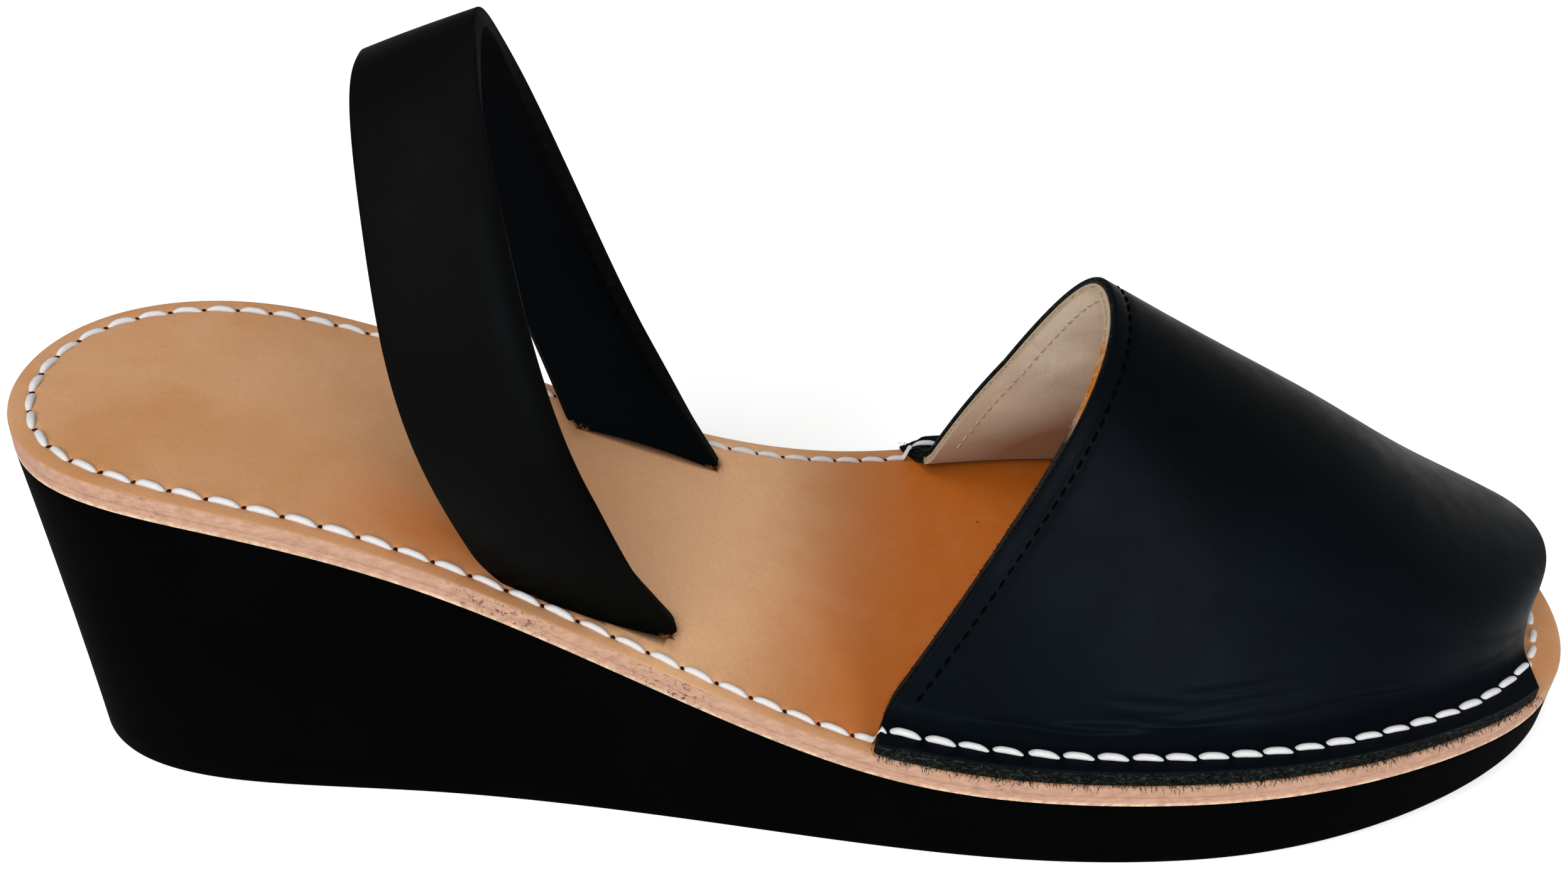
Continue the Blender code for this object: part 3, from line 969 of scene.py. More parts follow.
@dataclass
class LeatherLayers:
    """Tan insole and the thin layer under it, with the groove that the seam lies in."""

    insole_thickness: float = 2.14 * MM
    midsole_top: float = 2.18 * MM
    midsole_thickness: float = 1.74 * MM
    groove_inset: float = 3.0 * MM
    groove_depth: float = 0.22 * MM
    groove_width: float = 0.65 * MM
    groove_fade: float = 92.0 * MM
    groove_end: float = 104.0 * MM
    edge_round: float = 0.3 * MM
    spacing: float = 1.0 * MM
    slot_height: float = 12.0 * MM
    slot_gap: float = 0.25 * MM
    stain_width: float = 0.7 * MM
    stain_share: float = 0.75
    scuff_x: float = -52.0 * MM
    scuff_width: float = 7.0 * MM
    # Where the painted highlight lies on the midsole's cut edge
    lit_from: float = 0.55
    lit_share: float = 0.9

    def slab(self, depth: float, thickness: float, grooved: bool) -> bmesh.types.BMesh:
        """Build a layer that follows the outline and the profile.

        Args:
            depth: How far its top lies under the insole's top face.
            thickness: Its thickness.
            grooved: Whether its top has the seam's groove.

        Returns:
            The closed bmesh. Its top and bottom have material 0 and its rim 1.
        """
        turns = LAST.ring_turns(self.spacing)
        soft = self.edge_round
        rows = [(1.0 * MM, thickness, pull) for pull in (1.0, 0.6, 0.3, 0.0)]
        rows += [(soft / 5, thickness, 0), (0, thickness - soft / 5, 0), (0, thickness / 2, 0),
                 (0, soft, 0), (soft * 0.12, soft * 0.5, 0), (soft * 0.5, soft * 0.12, 0),
                 (soft * 1.2, 0, 0)]
        insets = [1.2, 1.8, 2.2, 2.5, 2.8, 3.0, 3.2, 3.5, 3.9, 4.4, 5.2]
        if not grooved:
            insets = [2.0, 5.2]
        rows += [(inset * MM, 0, 0) for inset in insets]
        rows += [(5.2 * MM, 0, pull) for pull in (0.1, 0.22, 0.36, 0.5, 0.64, 0.78, 0.9, 1.0)]
        rings = []
        for inset, below, pull in rows:
            dip = 0.0
            if grooved and below == 0 and pull == 0:
                dip = self.groove_depth * hump(inset - self.groove_inset, self.groove_width)
            rings.append(layer_ring(turns, inset, pull, self.sunk_top(depth + below, dip)))
        work = closed_rings(rings)
        for polygon in work.faces:
            polygon.material_index = 1 if abs(polygon.normal.z) < 0.85 else 0
        return work

    def sunk_top(self, depth: float, dip: float) -> Callable[[np.ndarray], np.ndarray]:
        """Give the rule for a height under the insole's top, with the groove's dip.

        Args:
            depth: How far the height lies under the insole's top face.
            dip: How much deeper it lies behind the toe, where the groove is.

        Returns:
            The rule, which gives the height at places along the shoe.
        """
        def height(x: np.ndarray) -> np.ndarray:
            """Give the height at places along the shoe."""
            grooved = 1 - smooth_step(x, self.groove_fade, self.groove_end)
            return LAST.top(x) - depth - dip * grooved

        return height

    def slot_cutter(self, row: np.ndarray, half: float) -> bpy.types.Object:
        """Build an upright cutter round a strap's foot.

        Args:
            row: Points of the strap's middle face where it meets the insole.
            half: Half of the cutter's width.

        Returns:
            The cutter.
        """
        along = unit(np.gradient(row, axis=0) * (1.0, 1.0, 0.0))
        row = row.copy()
        row[0] -= self.slot_gap * along[0]
        row[-1] += self.slot_gap * along[-1]
        level = unit(np.column_stack((-along[:, 1], along[:, 0], np.zeros(len(row)))))
        lift = np.array([0.0, 0.0, self.slot_height / 2])
        middle = np.column_stack((row[:, :2], LAST.top(row[:, 0])))
        face = np.array([middle + half * level + lift, middle + half * level - lift])
        back = np.array([middle - half * level + lift, middle - half * level - lift])
        mesh = bpy.data.meshes.new("slot_cutter")
        work = closed_sheet(face, back)
        work.to_mesh(mesh)
        work.free()
        cutter = bpy.data.objects.new("slot_cutter", mesh)
        bpy.context.scene.collection.objects.link(cutter)
        return cutter

    def cut_slots(self, piece: bpy.types.Object, rows: Sequence[np.ndarray], half: float) -> None:
        """Cut the strap's slots through the insole.

        Args:
            piece: The insole.
            rows: The strap's two foot rows.
            half: Half of the strap's thickness.
        """
        cutters = [self.slot_cutter(row, half + self.slot_gap) for row in rows]
        for cutter in cutters:
            cut = piece.modifiers.new("slot", "BOOLEAN")
            cut.operation = "DIFFERENCE"
            cut.solver = "EXACT"
            cut.object = cutter
        graph = bpy.context.evaluated_depsgraph_get()
        mesh = bpy.data.meshes.new_from_object(piece.evaluated_get(graph))
        piece.modifiers.clear()
        old = piece.data
        piece.data = mesh
        bpy.data.meshes.remove(old)
        for cutter in cutters:
            bpy.data.objects.remove(cutter, do_unlink=True)

    def build(self, tan: bpy.types.Material, edge: bpy.types.Material, torn: bpy.types.Material,
              rows: Sequence[np.ndarray], half: float) -> None:
        """Build the two layers.

        Args:
            tan: Material of the smooth side.
            edge: Material of the cut edges.
            torn: Material of the fibres round the slots.
            rows: The strap's two foot rows.
            half: Half of the strap's thickness.
        """
        slab = self.slab(self.midsole_top, self.midsole_thickness, False)
        under = add_piece("midsole_layer", slab, [edge, edge], "midsole_leather")
        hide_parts("leather_midsole")
        slab = self.slab(0.0, self.insole_thickness, True)
        insole = add_piece("insole_layer", slab, [tan, edge], "insole_leather")
        self.cut_slots(insole, rows, half)
        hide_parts("leather_insole")
        feet = np.vstack(rows)

        def stain(places: np.ndarray) -> np.ndarray:
            """Darken the leather close to the strap's feet."""
            gaps = np.linalg.norm(places[:, None, :2] - feet[None, :, :2], axis=2).min(axis=1)
            return self.stain_share * hump(np.clip(gaps - half, 0, None), self.stain_width)

        def scuffed(places: np.ndarray) -> np.ndarray:
            """Scuff the outer edge below the strap's foot."""
            return hump(places[:, 0] - self.scuff_x, self.scuff_width) * (places[:, 1] < 0)

        def lit(places: np.ndarray) -> np.ndarray:
            """Paint a highlight along the lower border of the cut edge.

            Args:
                places: Points of the piece.

            Returns:
                One number for each point.
            """
            under_top = -over_insole(places) - self.midsole_top
            start = self.lit_from * self.midsole_thickness
            return self.lit_share * smooth_step(under_top, start, self.midsole_thickness)

        set_field(under, "scuffed", scuffed)
        set_field(under, "lit", lit)
        set_field(insole, "scuffed", scuffed)
        set_field(insole, "stain", stain)
        wear = InsoleWear()
        set_field(insole, "brown_and_shade", wear.brown_and_shade)
        set_field(insole, "arch_light", wear.arch_light)
        for number, row in enumerate(rows):
            for name, step in (("rear", 1), ("front", -1)):
                self.build_slot_fibres(f"slot_fibres_{number}_{name}", row[::step], half, torn)

    def build_slot_fibres(self, name: str, row: np.ndarray, half: float,
                          torn: bpy.types.Material) -> None:
        """Build the torn fibres round one end of a slot.

        Args:
            name: The piece's name.
            row: The foot's row, from that end on.
            half: Half of the strap's thickness.
            torn: Their material.
        """
        along = unit(row[0] - row[3])
        level = unit(np.array([-along[1], along[0], 0.0]))
        turns = np.linspace(-0.62 * math.pi, 0.62 * math.pi, 25)[:, None]
        reach = half + self.slot_gap
        ring = row[1] + reach * (np.cos(turns) * along + np.sin(turns) * level)
        ring[:, 2] = LAST.top(ring[:, 0]) - 0.05 * MM
        inward = row[1] - ring + np.array([0.0, 0.0, 1.3 * MM])
        Fibres(name, "insole_leather", 26.0, 0.35 * MM, 1.1 * MM, 0.045 * MM, 0.8,
               0.35 * MM, 17).build(ring, inward, torn)


@dataclass(frozen=True)
class InsoleWear:
    """Where the insole has browned, under the vamp and the strap, and where painted light makes it
    paler over the arch.
    """

    slant: float = 0.25
    vamp_from: float = -17.0 * MM
    vamp_full: float = 15.0 * MM
    vamp_share: float = 0.95
    tip_from: float = 98.0 * MM
    tip_full: float = 112.0 * MM
    tip_loss: float = 0.75
    rim_from: float = 0.8 * MM
    rim_full: float = 4.0 * MM
    foot: tuple[float, float] = (-61.0 * MM, -21.0 * MM)
    foot_stretch: float = 1.6
    foot_width: float = 9.0 * MM
    foot_share: float = 0.8
    arch_from: float = 5.0 * MM
    arch_full: float = 35.0 * MM
    arch_share: float = 0.06
    # Where the painted light lies over the arch
    light_from: float = -54.0 * MM
    light_full: float = -26.0 * MM
    light_fade: float = -20.0 * MM
    light_end: float = 4.0 * MM

    def brown_and_shade(self, places: np.ndarray) -> np.ndarray:
        """Give how far the insole has browned: under the vamp, and behind the strap's foot.

        Args:
            places: Points of the insole.

        Returns:
            One number from 0 to 1 for each point.
        """
        x, y = places[:, 0], places[:, 1]
        vamp = smooth_step(x - self.slant * y, self.vamp_from, self.vamp_full)
        tip = 1 - self.tip_loss * smooth_step(x, self.tip_from, self.tip_full)
        foot = hump(np.hypot((x - self.foot[0]) / self.foot_stretch, y - self.foot[1]),
                    self.foot_width)
        arch = self.arch_share * smooth_step(y, self.arch_from, self.arch_full)
        turn = np.arccos(np.clip(-2 * x / LAST.length, -1, 1)) * np.sign(y)
        from_rim = np.abs(LAST.ball_width * LAST.reach(turn)) - np.abs(y)
        covered = smooth_step(from_rim, self.rim_from, self.rim_full)
        brown = self.vamp_share * vamp * tip * covered + self.foot_share * foot + arch
        return np.clip(brown, 0, 1)

    def arch_light(self, places: np.ndarray) -> np.ndarray:
        """Give how strong the painted light is that makes the insole paler, over the arch between
        strap and vamp.

        Args:
            places: Points of the insole.

        Returns:
            One number from 0 to 1 for each point.
        """
        x, y = places[:, 0], places[:, 1]
        start = smooth_step(x, self.light_from, self.light_full)
        return start * (1 - smooth_step(x - self.slant * y, self.light_fade, self.light_end))


@dataclass(frozen=True)
class Crease:
    """One soft fold of the vamp, along the shoe over its flange."""

    side: Side
    start: float
    end: float
    over_flange: float
    depth: float
    width: float


@dataclass
class Vamp:
    """Hollow upper: black leather, its suede lining and the topstitch of its back edge."""

    wall: float = 1.2 * MM
    flange_wall: float = 2.86 * MM
    whole_wall: float = 2.6 * MM
    height: float = 56.1 * MM
    crown_y: float = 1.9 * MM
    bulge: float = 0.7 * MM
    lift: float = 2.9 * MM
    flange_inset: float = 0.2 * MM
    flange_width: float = 6.2 * MM
    crease_length: float = 2.8 * MM
    corner_pull: float = 2 / 3
    ribs: int = 130
    flange_steps: int = 6
    crease_steps: int = 12
    wall_steps: int = 30
    shoulder_steps: int = 24
    rim_round: float = 0.3 * MM
    stitch_inset: float = 3.2 * MM
    stitch_pitch: float = 2.3 * MM
    stitch_groove: float = 0.30 * MM
    stitch_groove_width: float = 0.5 * MM
    skive_depth: float = 1.9 * MM
    skive_reach: float = 5.0 * MM
    skive_shares: tuple[float, float] = (0.35, 1.0)
    glue_gap: float = 0.03 * MM
    glue_heights: tuple[float, float, float, float] = (42.5 * MM, 45.0 * MM, 50.5 * MM, 53.0 * MM)
    dark_heights: tuple[float, float] = (41.5 * MM, 44.0 * MM)
    # Where the lining gets its painted shade and reflected light
    shade_low: tuple[float, float] = (3.0 * MM, 21.0 * MM)
    shade_high: tuple[float, float] = (14.0 * MM, 34.0 * MM)
    shade_forward: tuple[float, float] = (22.0 * MM, 48.0 * MM)
    shade_shares: tuple[float, float] = (0.75, 0.6)
    table: tuple = (
        # along, outer_edge, outer_foot, inner_edge, inner_foot, crown, height,
        # outer_lean, inner_lean, shoulder, sweep
        (0.00, 0.508, 0.510, 0.563, 0.573, 0.652, 1.000, 0.440, 0.343, 0.50, 1.04),
        (0.25, 0.627, 0.628, 0.665, 0.668, 0.734, 0.794, 0.560, 0.403, 0.50, 0.95),
        (0.50, 0.739, 0.740, 0.762, 0.763, 0.816, 0.600, 0.700, 0.529, 0.50, 0.80),
        (0.75, 0.847, 0.850, 0.855, 0.858, 0.899, 0.387, 0.700, 0.627, 0.48, 0.57),
        (1.00, 0.940, 0.966, 0.938, 0.949, 0.982, 0.226, 0.491, 0.667, 0.62, 0.13),
    )
    creases: tuple = (
        Crease(Side.OUTER, 0.08, 0.36, 0.9 * MM, 0.34 * MM, 0.60 * MM),
        Crease(Side.OUTER, 0.14, 0.50, 2.4 * MM, 0.38 * MM, 0.62 * MM),
        Crease(Side.OUTER, 0.20, 0.44, 4.0 * MM, 0.34 * MM, 0.66 * MM),
        Crease(Side.OUTER, 0.24, 0.56, 5.7 * MM, 0.32 * MM, 0.70 * MM),
        Crease(Side.OUTER, 0.33, 0.54, 7.6 * MM, 0.26 * MM, 0.80 * MM),
        Crease(Side.OUTER, 0.48, 0.78, 2.8 * MM, 0.22 * MM, 0.80 * MM),
        Crease(Side.INNER, 0.12, 0.46, 2.6 * MM, 0.24 * MM, 0.75 * MM),
        Crease(Side.INNER, 0.20, 0.54, 4.8 * MM, 0.24 * MM, 0.85 * MM),
        Crease(Side.INNER, 0.28, 0.50, 7.4 * MM, 0.18 * MM, 0.95 * MM),
    )

    def corner(self, before: np.ndarray, corner: np.ndarray, after: np.ndarray,
               steps: int) -> np.ndarray:
        """Give a curve from one point to another, steered by the corner between them."""
        t = np.linspace(0, 1, steps + 1)[:, None]
        return (1 - t) ** 2 * before + 2 * t * (1 - t) * corner + t ** 2 * after

    def over_shoulder(self, start: np.ndarray, shoulder: np.ndarray,
                      crown: np.ndarray) -> np.ndarray:
        """Give the curve from a wall over its shoulder to the crown.

        Args:
            start: Where the curve leaves the wall.
            shoulder: The corner that it rounds off.
            crown: Its last point, on the ridge.

        Returns:
            Points from the wall to the crown.
        """
        square = np.array([crown[0], shoulder[1], crown[2]])
        t = np.linspace(0, 1, self.shoulder_steps + 1)[:, None]
        first = start + self.corner_pull * (shoulder - start)
        second = crown + self.corner_pull * (square - crown)
        ends = (1 - t) ** 3 * start + t ** 3 * crown
        return ends + 3 * t * (1 - t) * ((1 - t) * first + t * second)

    def half_rib(self, rib: dict, side: Side) -> np.ndarray:
        """Give half of a rib of the outer face.

        Args:
            rib: The rib's shares by name.
            side: The side of the foot.

        Returns:
            Points from the flange's edge up to the crown.
        """
        name = side.name.lower()
        lean = rib[name + "_lean"]
        edge_turn = np.array([LAST.side_angle(rib[name + "_edge"], side)])
        foot_turn = np.array([LAST.side_angle(rib[name + "_foot"], side)])
        edge_plan, _ = LAST.plan(edge_turn, self.flange_inset)
        foot_plan, _ = LAST.plan(foot_turn, self.flange_width)
        edge = np.append(edge_plan[0], LAST.top(edge_plan[:, 0]) + self.lift)
        foot = np.append(foot_plan[0], LAST.top(foot_plan[:, 0]) + self.lift)
        crown_x = float(LAST.station_x(rib["crown"]))
        crown_z = LAST.top(crown_x)[0] + self.height * rib["height"]
        crown = np.array([crown_x, self.crown_y, crown_z])
        shoulder_x = foot[0] + (crown_x - foot[0]) * rib["sweep"]
        climb = crown_z - foot[2]
        shoulder = np.array([shoulder_x, foot[1] - side.value * lean * climb, crown_z])
        wall = shoulder - foot
        upward = unit(wall)
        flat = unit(foot - edge)
        turn_in = foot - self.crease_length * flat
        turn_out = foot + self.crease_length * upward
        rounding = shoulder - rib["shoulder"] * wall
        t = np.linspace(0, 1, self.wall_steps + 1)[1:-1, None]
        outward = side.value * unit(np.cross(upward, (1.0, 0.0, 0.0)))
        straight = turn_out + t * (rounding - turn_out)
        straight = straight + outward * self.bulge * rib["height"] * 4 * t * (1 - t)
        flange = edge + np.linspace(0, 1, self.flange_steps + 1)[:-1, None] * (turn_in - edge)
        return np.vstack((flange, self.corner(turn_in, foot, turn_out, self.crease_steps), straight,
                          self.over_shoulder(rounding, shoulder, crown)))

    def outer_face(self) -> np.ndarray:
        """Give the outer face's points, ribs from the back to the toe.

        Returns:
            Points of shape (ribs, points of a rib, 3), from the outer edge to the inner one.
        """
        names = ("outer_edge", "outer_foot", "inner_edge", "inner_foot", "crown", "height",
                 "outer_lean", "inner_lean", "shoulder", "sweep")
        table = np.array(self.table)
        ribs = SmoothCurve(table[:, 0], table[:, 1:])(np.linspace(0, 1, self.ribs))
        grid = []
        for row in ribs:
            rib = dict(zip(names, row))
            outer = self.half_rib(rib, Side.OUTER)
            inner = self.half_rib(rib, Side.INNER)
            grid.append(np.vstack((outer, inner[-2::-1])))
        return np.array(grid)

    def travel(self, grid: np.ndarray, axis: int) -> np.ndarray:
        """Give how far each point lies from the grid's first row or column.

        Args:
            grid: Points of shape (rows, columns, 3).
            axis: 0 for the first row, 1 for the column.

        Returns:
            Distances of shape (rows, columns).
        """
        steps = np.linalg.norm(np.diff(grid, axis=axis), axis=-1)
        pad = [(0, 0), (0, 0)]
        pad[axis] = (1, 0)
        return np.pad(np.cumsum(steps, axis=axis), pad)

    def relief(self, grid: np.ndarray) -> np.ndarray:
        """Give how far each point of the outer face sinks, for folds and the stitch groove.

        Args:
            grid: The outer face's points.

        Returns:
            Depths of shape (rows, columns).
        """
        along = np.linspace(0, 1, len(grid))[:, None]
        across = self.travel(grid, 1)
        from_outer = across - self.flange_width
        from_inner = (across[:, -1:] - across) - self.flange_width
        sunk = np.zeros(grid.shape[:2])
        for crease in self.creases:
            over = from_outer if crease.side is Side.OUTER else from_inner
            share = (along - crease.start) / (crease.end - crease.start)
            reach = np.sin(math.pi * np.clip(share, 0, 1)) ** 0.8
            wander = 0.45 * MM * np.sin(24 * along + 40 * crease.over_flange / MM)
            distance = over - crease.over_flange - wander
            trough = hump(distance, crease.width)
            ridge = 0.6 * hump(distance - 1.7 * crease.width, crease.width)
            sunk += crease.depth * reach * (trough - ridge)
        from_back = self.travel(grid, 0)
        sunk += self.stitch_groove * hump(from_back - self.stitch_inset, self.stitch_groove_width)
        return sunk

    def build(self, leather: bpy.types.Material, raw: bpy.types.Material,
              suede: bpy.types.Material, rim: bpy.types.Material,
              thread: bpy.types.Material, faded: bpy.types.Material,
              fuzz: bpy.types.Material) -> None:
        """Build the leather, the lining and the topstitch.

        Args:
            leather: Material of both leather faces.
            raw: Material of the leather's cut rim.
            suede: Material of the lining.
            rim: Material of the lining's rim.
            thread: Material of the topstitch.
            faded: Material of its inner side, on the lining.
            fuzz: Material of the flange's loose fibres.
        """
        plain = self.outer_face()
        normals = grid_normals(plain)
        if normals[0, plain.shape[1] // 2, 2] < 0:
            normals = -normals
        face = plain - self.relief(plain)[..., None] * normals
        columns = np.arange(plain.shape[1])
        from_edge = np.minimum(columns, columns[::-1])
        bend = smooth_step(from_edge, self.flange_steps, self.flange_steps + self.crease_steps)
        thick = self.flange_wall + (self.wall - self.flange_wall) * bend
        back = face - thick[None, :, None] * normals
        for column in (0, -1):
            back[:, column, :2] = face[:, column, :2]
            back[:, column, 2] = face[:, column, 2] - self.flange_wall
        for column, share in zip((0, -1), self.skive_shares):
            corner = face[0, column]
            gap = np.linalg.norm(face - corner, axis=-1)
            thinned = share * self.skive_depth * (1 - smooth_step(gap, 0, self.skive_reach))
            face[..., 2] -= thinned * (from_edge <= self.flange_steps + 2)
        work = closed_sheet(face, back)
        for polygon in work.faces:
            polygon.material_index = 1 if polygon.material_index == 2 else 0
        soften_rim(work, self.rim_round, 0)
        upper = add_piece("vamp_leather", work, [leather, raw], "black_leather")
        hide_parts("vamp")
        for column, name, seed in ((0, "outer_flange_fibres", 5), (-1, "inner_flange_fibres", 6)):
            edge = 0.2 * face[:, column] + 0.8 * back[:, column]
            away = edge - face[:, 3 if column == 0 else -4]
            away[:, 2] = -0.8 * np.linalg.norm(away[:, :2], axis=1)
            Fibres(name, "black_leather", 11.0, 0.4 * MM, 1.2 * MM, 0.07 * MM, 0.9,
                   0.7 * MM, seed).build(edge, away, fuzz)
        self.build_lining(plain, normals, suede, rim)
        self.build_topstitch("back_edge_topstitch", face, normals, thread)
        inside = plain - (self.whole_wall - 0.05 * MM) * normals
        self.build_topstitch("lining_topstitch", inside, -normals, faded)

    def build_lining(self, plain: np.ndarray, normals: np.ndarray, suede: bpy.types.Material,
                     rim: bpy.types.Material) -> None:
        """Build the lining that is glued inside the walls.

        Args:
            plain: The outer face's points.
            normals: Its outward normals.
            suede: Material of its face.
            rim: Material of its rim.
        """
        start = self.flange_steps + self.crease_steps // 2
        inside = slice(start, plain.shape[1] - start)
        inner = (plain - self.whole_wall * normals)[:, inside]
        glued = (plain - (self.wall + self.glue_gap) * normals)[:, inside]
        work = closed_sheet(inner[:-1], glued[:-1])
        for polygon in work.faces:
            polygon.material_index = min(polygon.material_index, 1)
        lining = add_piece("vamp_lining", work, [suede, rim], "suede_lining")
        fringe = (inner[0] + glued[0]) / 2
        backward = inner[0] - inner[2] + 0.3 * (glued[0] - inner[0])
        loose = Fibres("lining_fringe", "suede_lining", 9.0, 0.2 * MM, 0.7 * MM, 0.04 * MM, 0.6,
                       0.2 * MM, 9).build(fringe, backward, rim)

        def brown_and_shade(places: np.ndarray) -> np.ndarray:
            """Paint shade and the insole's reflected light on the lining, browner towards the
            insole and the toe.

            Args:
                places: Points of the piece.

            Returns:
                One number for each point.
            """
            over = over_insole(places)
            low = 1 - smooth_step(over, *self.shade_low)
            high = 1 - smooth_step(over, *self.shade_high)
            forward = smooth_step(places[:, 0], *self.shade_forward)
            return np.clip(self.shade_shares[0] * low + self.shade_shares[1] * forward * high, 0, 1)

        def glue(places: np.ndarray) -> np.ndarray:
            """Show dried glue high on the outer side's rim.

            Args:
                places: Points of the piece.

            Returns:
                One number for each point.
            """
            over = over_insole(places)
            low = smooth_step(over, *self.glue_heights[:2])
            high = smooth_step(over, *self.glue_heights[2:])
            return low * (1 - high) * (places[:, 1] < 0)

        def darkened(places: np.ndarray) -> np.ndarray:
            """Darken the outer side's rim below the glue."""
            low = 1 - smooth_step(over_insole(places), *self.dark_heights)
            return low * (places[:, 1] < 0)

        set_field(lining, "brown_and_shade", brown_and_shade)
        for piece in (lining, loose):
            set_field(piece, "glue", glue)
            set_field(piece, "darkened", darkened)

    def build_topstitch(self, name: str, face: np.ndarray, normals: np.ndarray,
                        thread: bpy.types.Material) -> None:
        """Build the thin stitches along the back edge.

        Args:
            name: The piece's name.
            face: Points of the face that they lie on.
            normals: Its normals, away from the leather.
            thread: Their material.
        """
        from_back = self.travel(face, 0)
        start = self.flange_steps + self.crease_steps
        path, proud = [], []
        for column in range(start, face.shape[1] - start):
            rows = from_back[:, column]
            path.append([np.interp(self.stitch_inset, rows, face[:, column, k]) for k in range(3)])
            proud.append([np.interp(self.stitch_inset, rows, normals[:, column, k])
                          for k in range(3)])
        path, proud = np.array(path), unit(np.array(proud))
        walked = np.concatenate(([0], np.cumsum(np.linalg.norm(np.diff(path, axis=0), axis=1))))
        stitch = Stitch(length=1.9 * MM, half_width=0.22 * MM, half_height=0.20 * MM,
                        sink=0.2 * MM, rest=0.45, slant=0.0, rings=7, sides=8)
        work = bmesh.new()
        lay = work.verts.layers.float.new("lay")
        count = int(walked[-1] / self.stitch_pitch)
        for number in range(count):
            places = (number + 0.5) * self.stitch_pitch + stitch.spread()
            centres = np.column_stack([np.interp(places, walked, path[:, k]) for k in range(3)])
            ups = unit(np.column_stack([np.interp(places, walked, proud[:, k]) for k in range(3)]))
            stitch.add(work, lay, centres, ups)
        add_piece(name, work, [thread], "black_leather", 80.0)


@dataclass(frozen=True)
class Stitch:
    """One visible stitch: a lens of thread that dives into the leather at both ends."""

    length: float = 5.3 * MM
    half_width: float = 0.58 * MM
    half_height: float = 0.50 * MM
    sink: float = 0.88 * MM
    rest: float = 0.62
    slant: float = 0.55 * MM
    rings: int = 15
    sides: int = 12

    def spread(self) -> np.ndarray:
        """Give the places of its rings along the seam, from its middle."""
        return np.linspace(-0.5, 0.5, self.rings) * self.length

    def add(self, work: bmesh.types.BMesh, lay: object, centres: np.ndarray, ups: np.ndarray,
            size: float = 1.0, lean: float = 1.0) -> None:
        """Add the stitch to a mesh.

        Args:
            work: The mesh.
            lay: Its float layer for the thread's twist.
            centres: Points of the leather's face under its rings.
            ups: The face's normals there.
            size: Scale of its width and height.
            lean: Scale of its slant.
        """
        t = np.linspace(0, 1, self.rings)
        along = unit(np.gradient(centres, axis=0))
        inward = unit(np.cross(along, ups))
        pointed = np.sin(math.pi / 2 * np.clip(t / 0.45, 0, 1)) ** 0.8
        blunt = np.clip(1 - np.clip((t - 0.45) / 0.55, 0, 1) ** 4, 0, 1) ** 0.5
        swell = 0.13 + 0.87 * pointed * blunt
        side = self.slant * (t - 0.5) * lean
        rise = self.half_height * self.rest - self.sink * np.abs(2 * t - 1) ** 3
        around = np.arange(self.sides) * 2 * math.pi / self.sides
        made = bmesh.ops.create_grid(work, x_segments=self.sides - 1, y_segments=self.rings - 1,
                                     size=1.0)["verts"]
        for number, vert in enumerate(made):
            ring, step = divmod(number, self.sides)
            angle = around[step]
            wide = self.half_width * swell[ring] * size * math.cos(angle)
            tall = self.half_height * swell[ring] * size * math.sin(angle)
            vert.co = (centres[ring] + inward[ring] * (side[ring] + wide)
                       + ups[ring] * (rise[ring] + tall))
            vert[lay] = t[ring] * self.length + angle * self.half_width * 0.5
        rows = [made[i * self.sides:(i + 1) * self.sides] for i in range(self.rings)]
        for lower, upper in zip(rows, rows[1:]):
            work.faces.new((lower[-1], lower[0], upper[0], upper[-1]))
        work.faces.new(rows[0][::-1])
        work.faces.new(rows[-1])


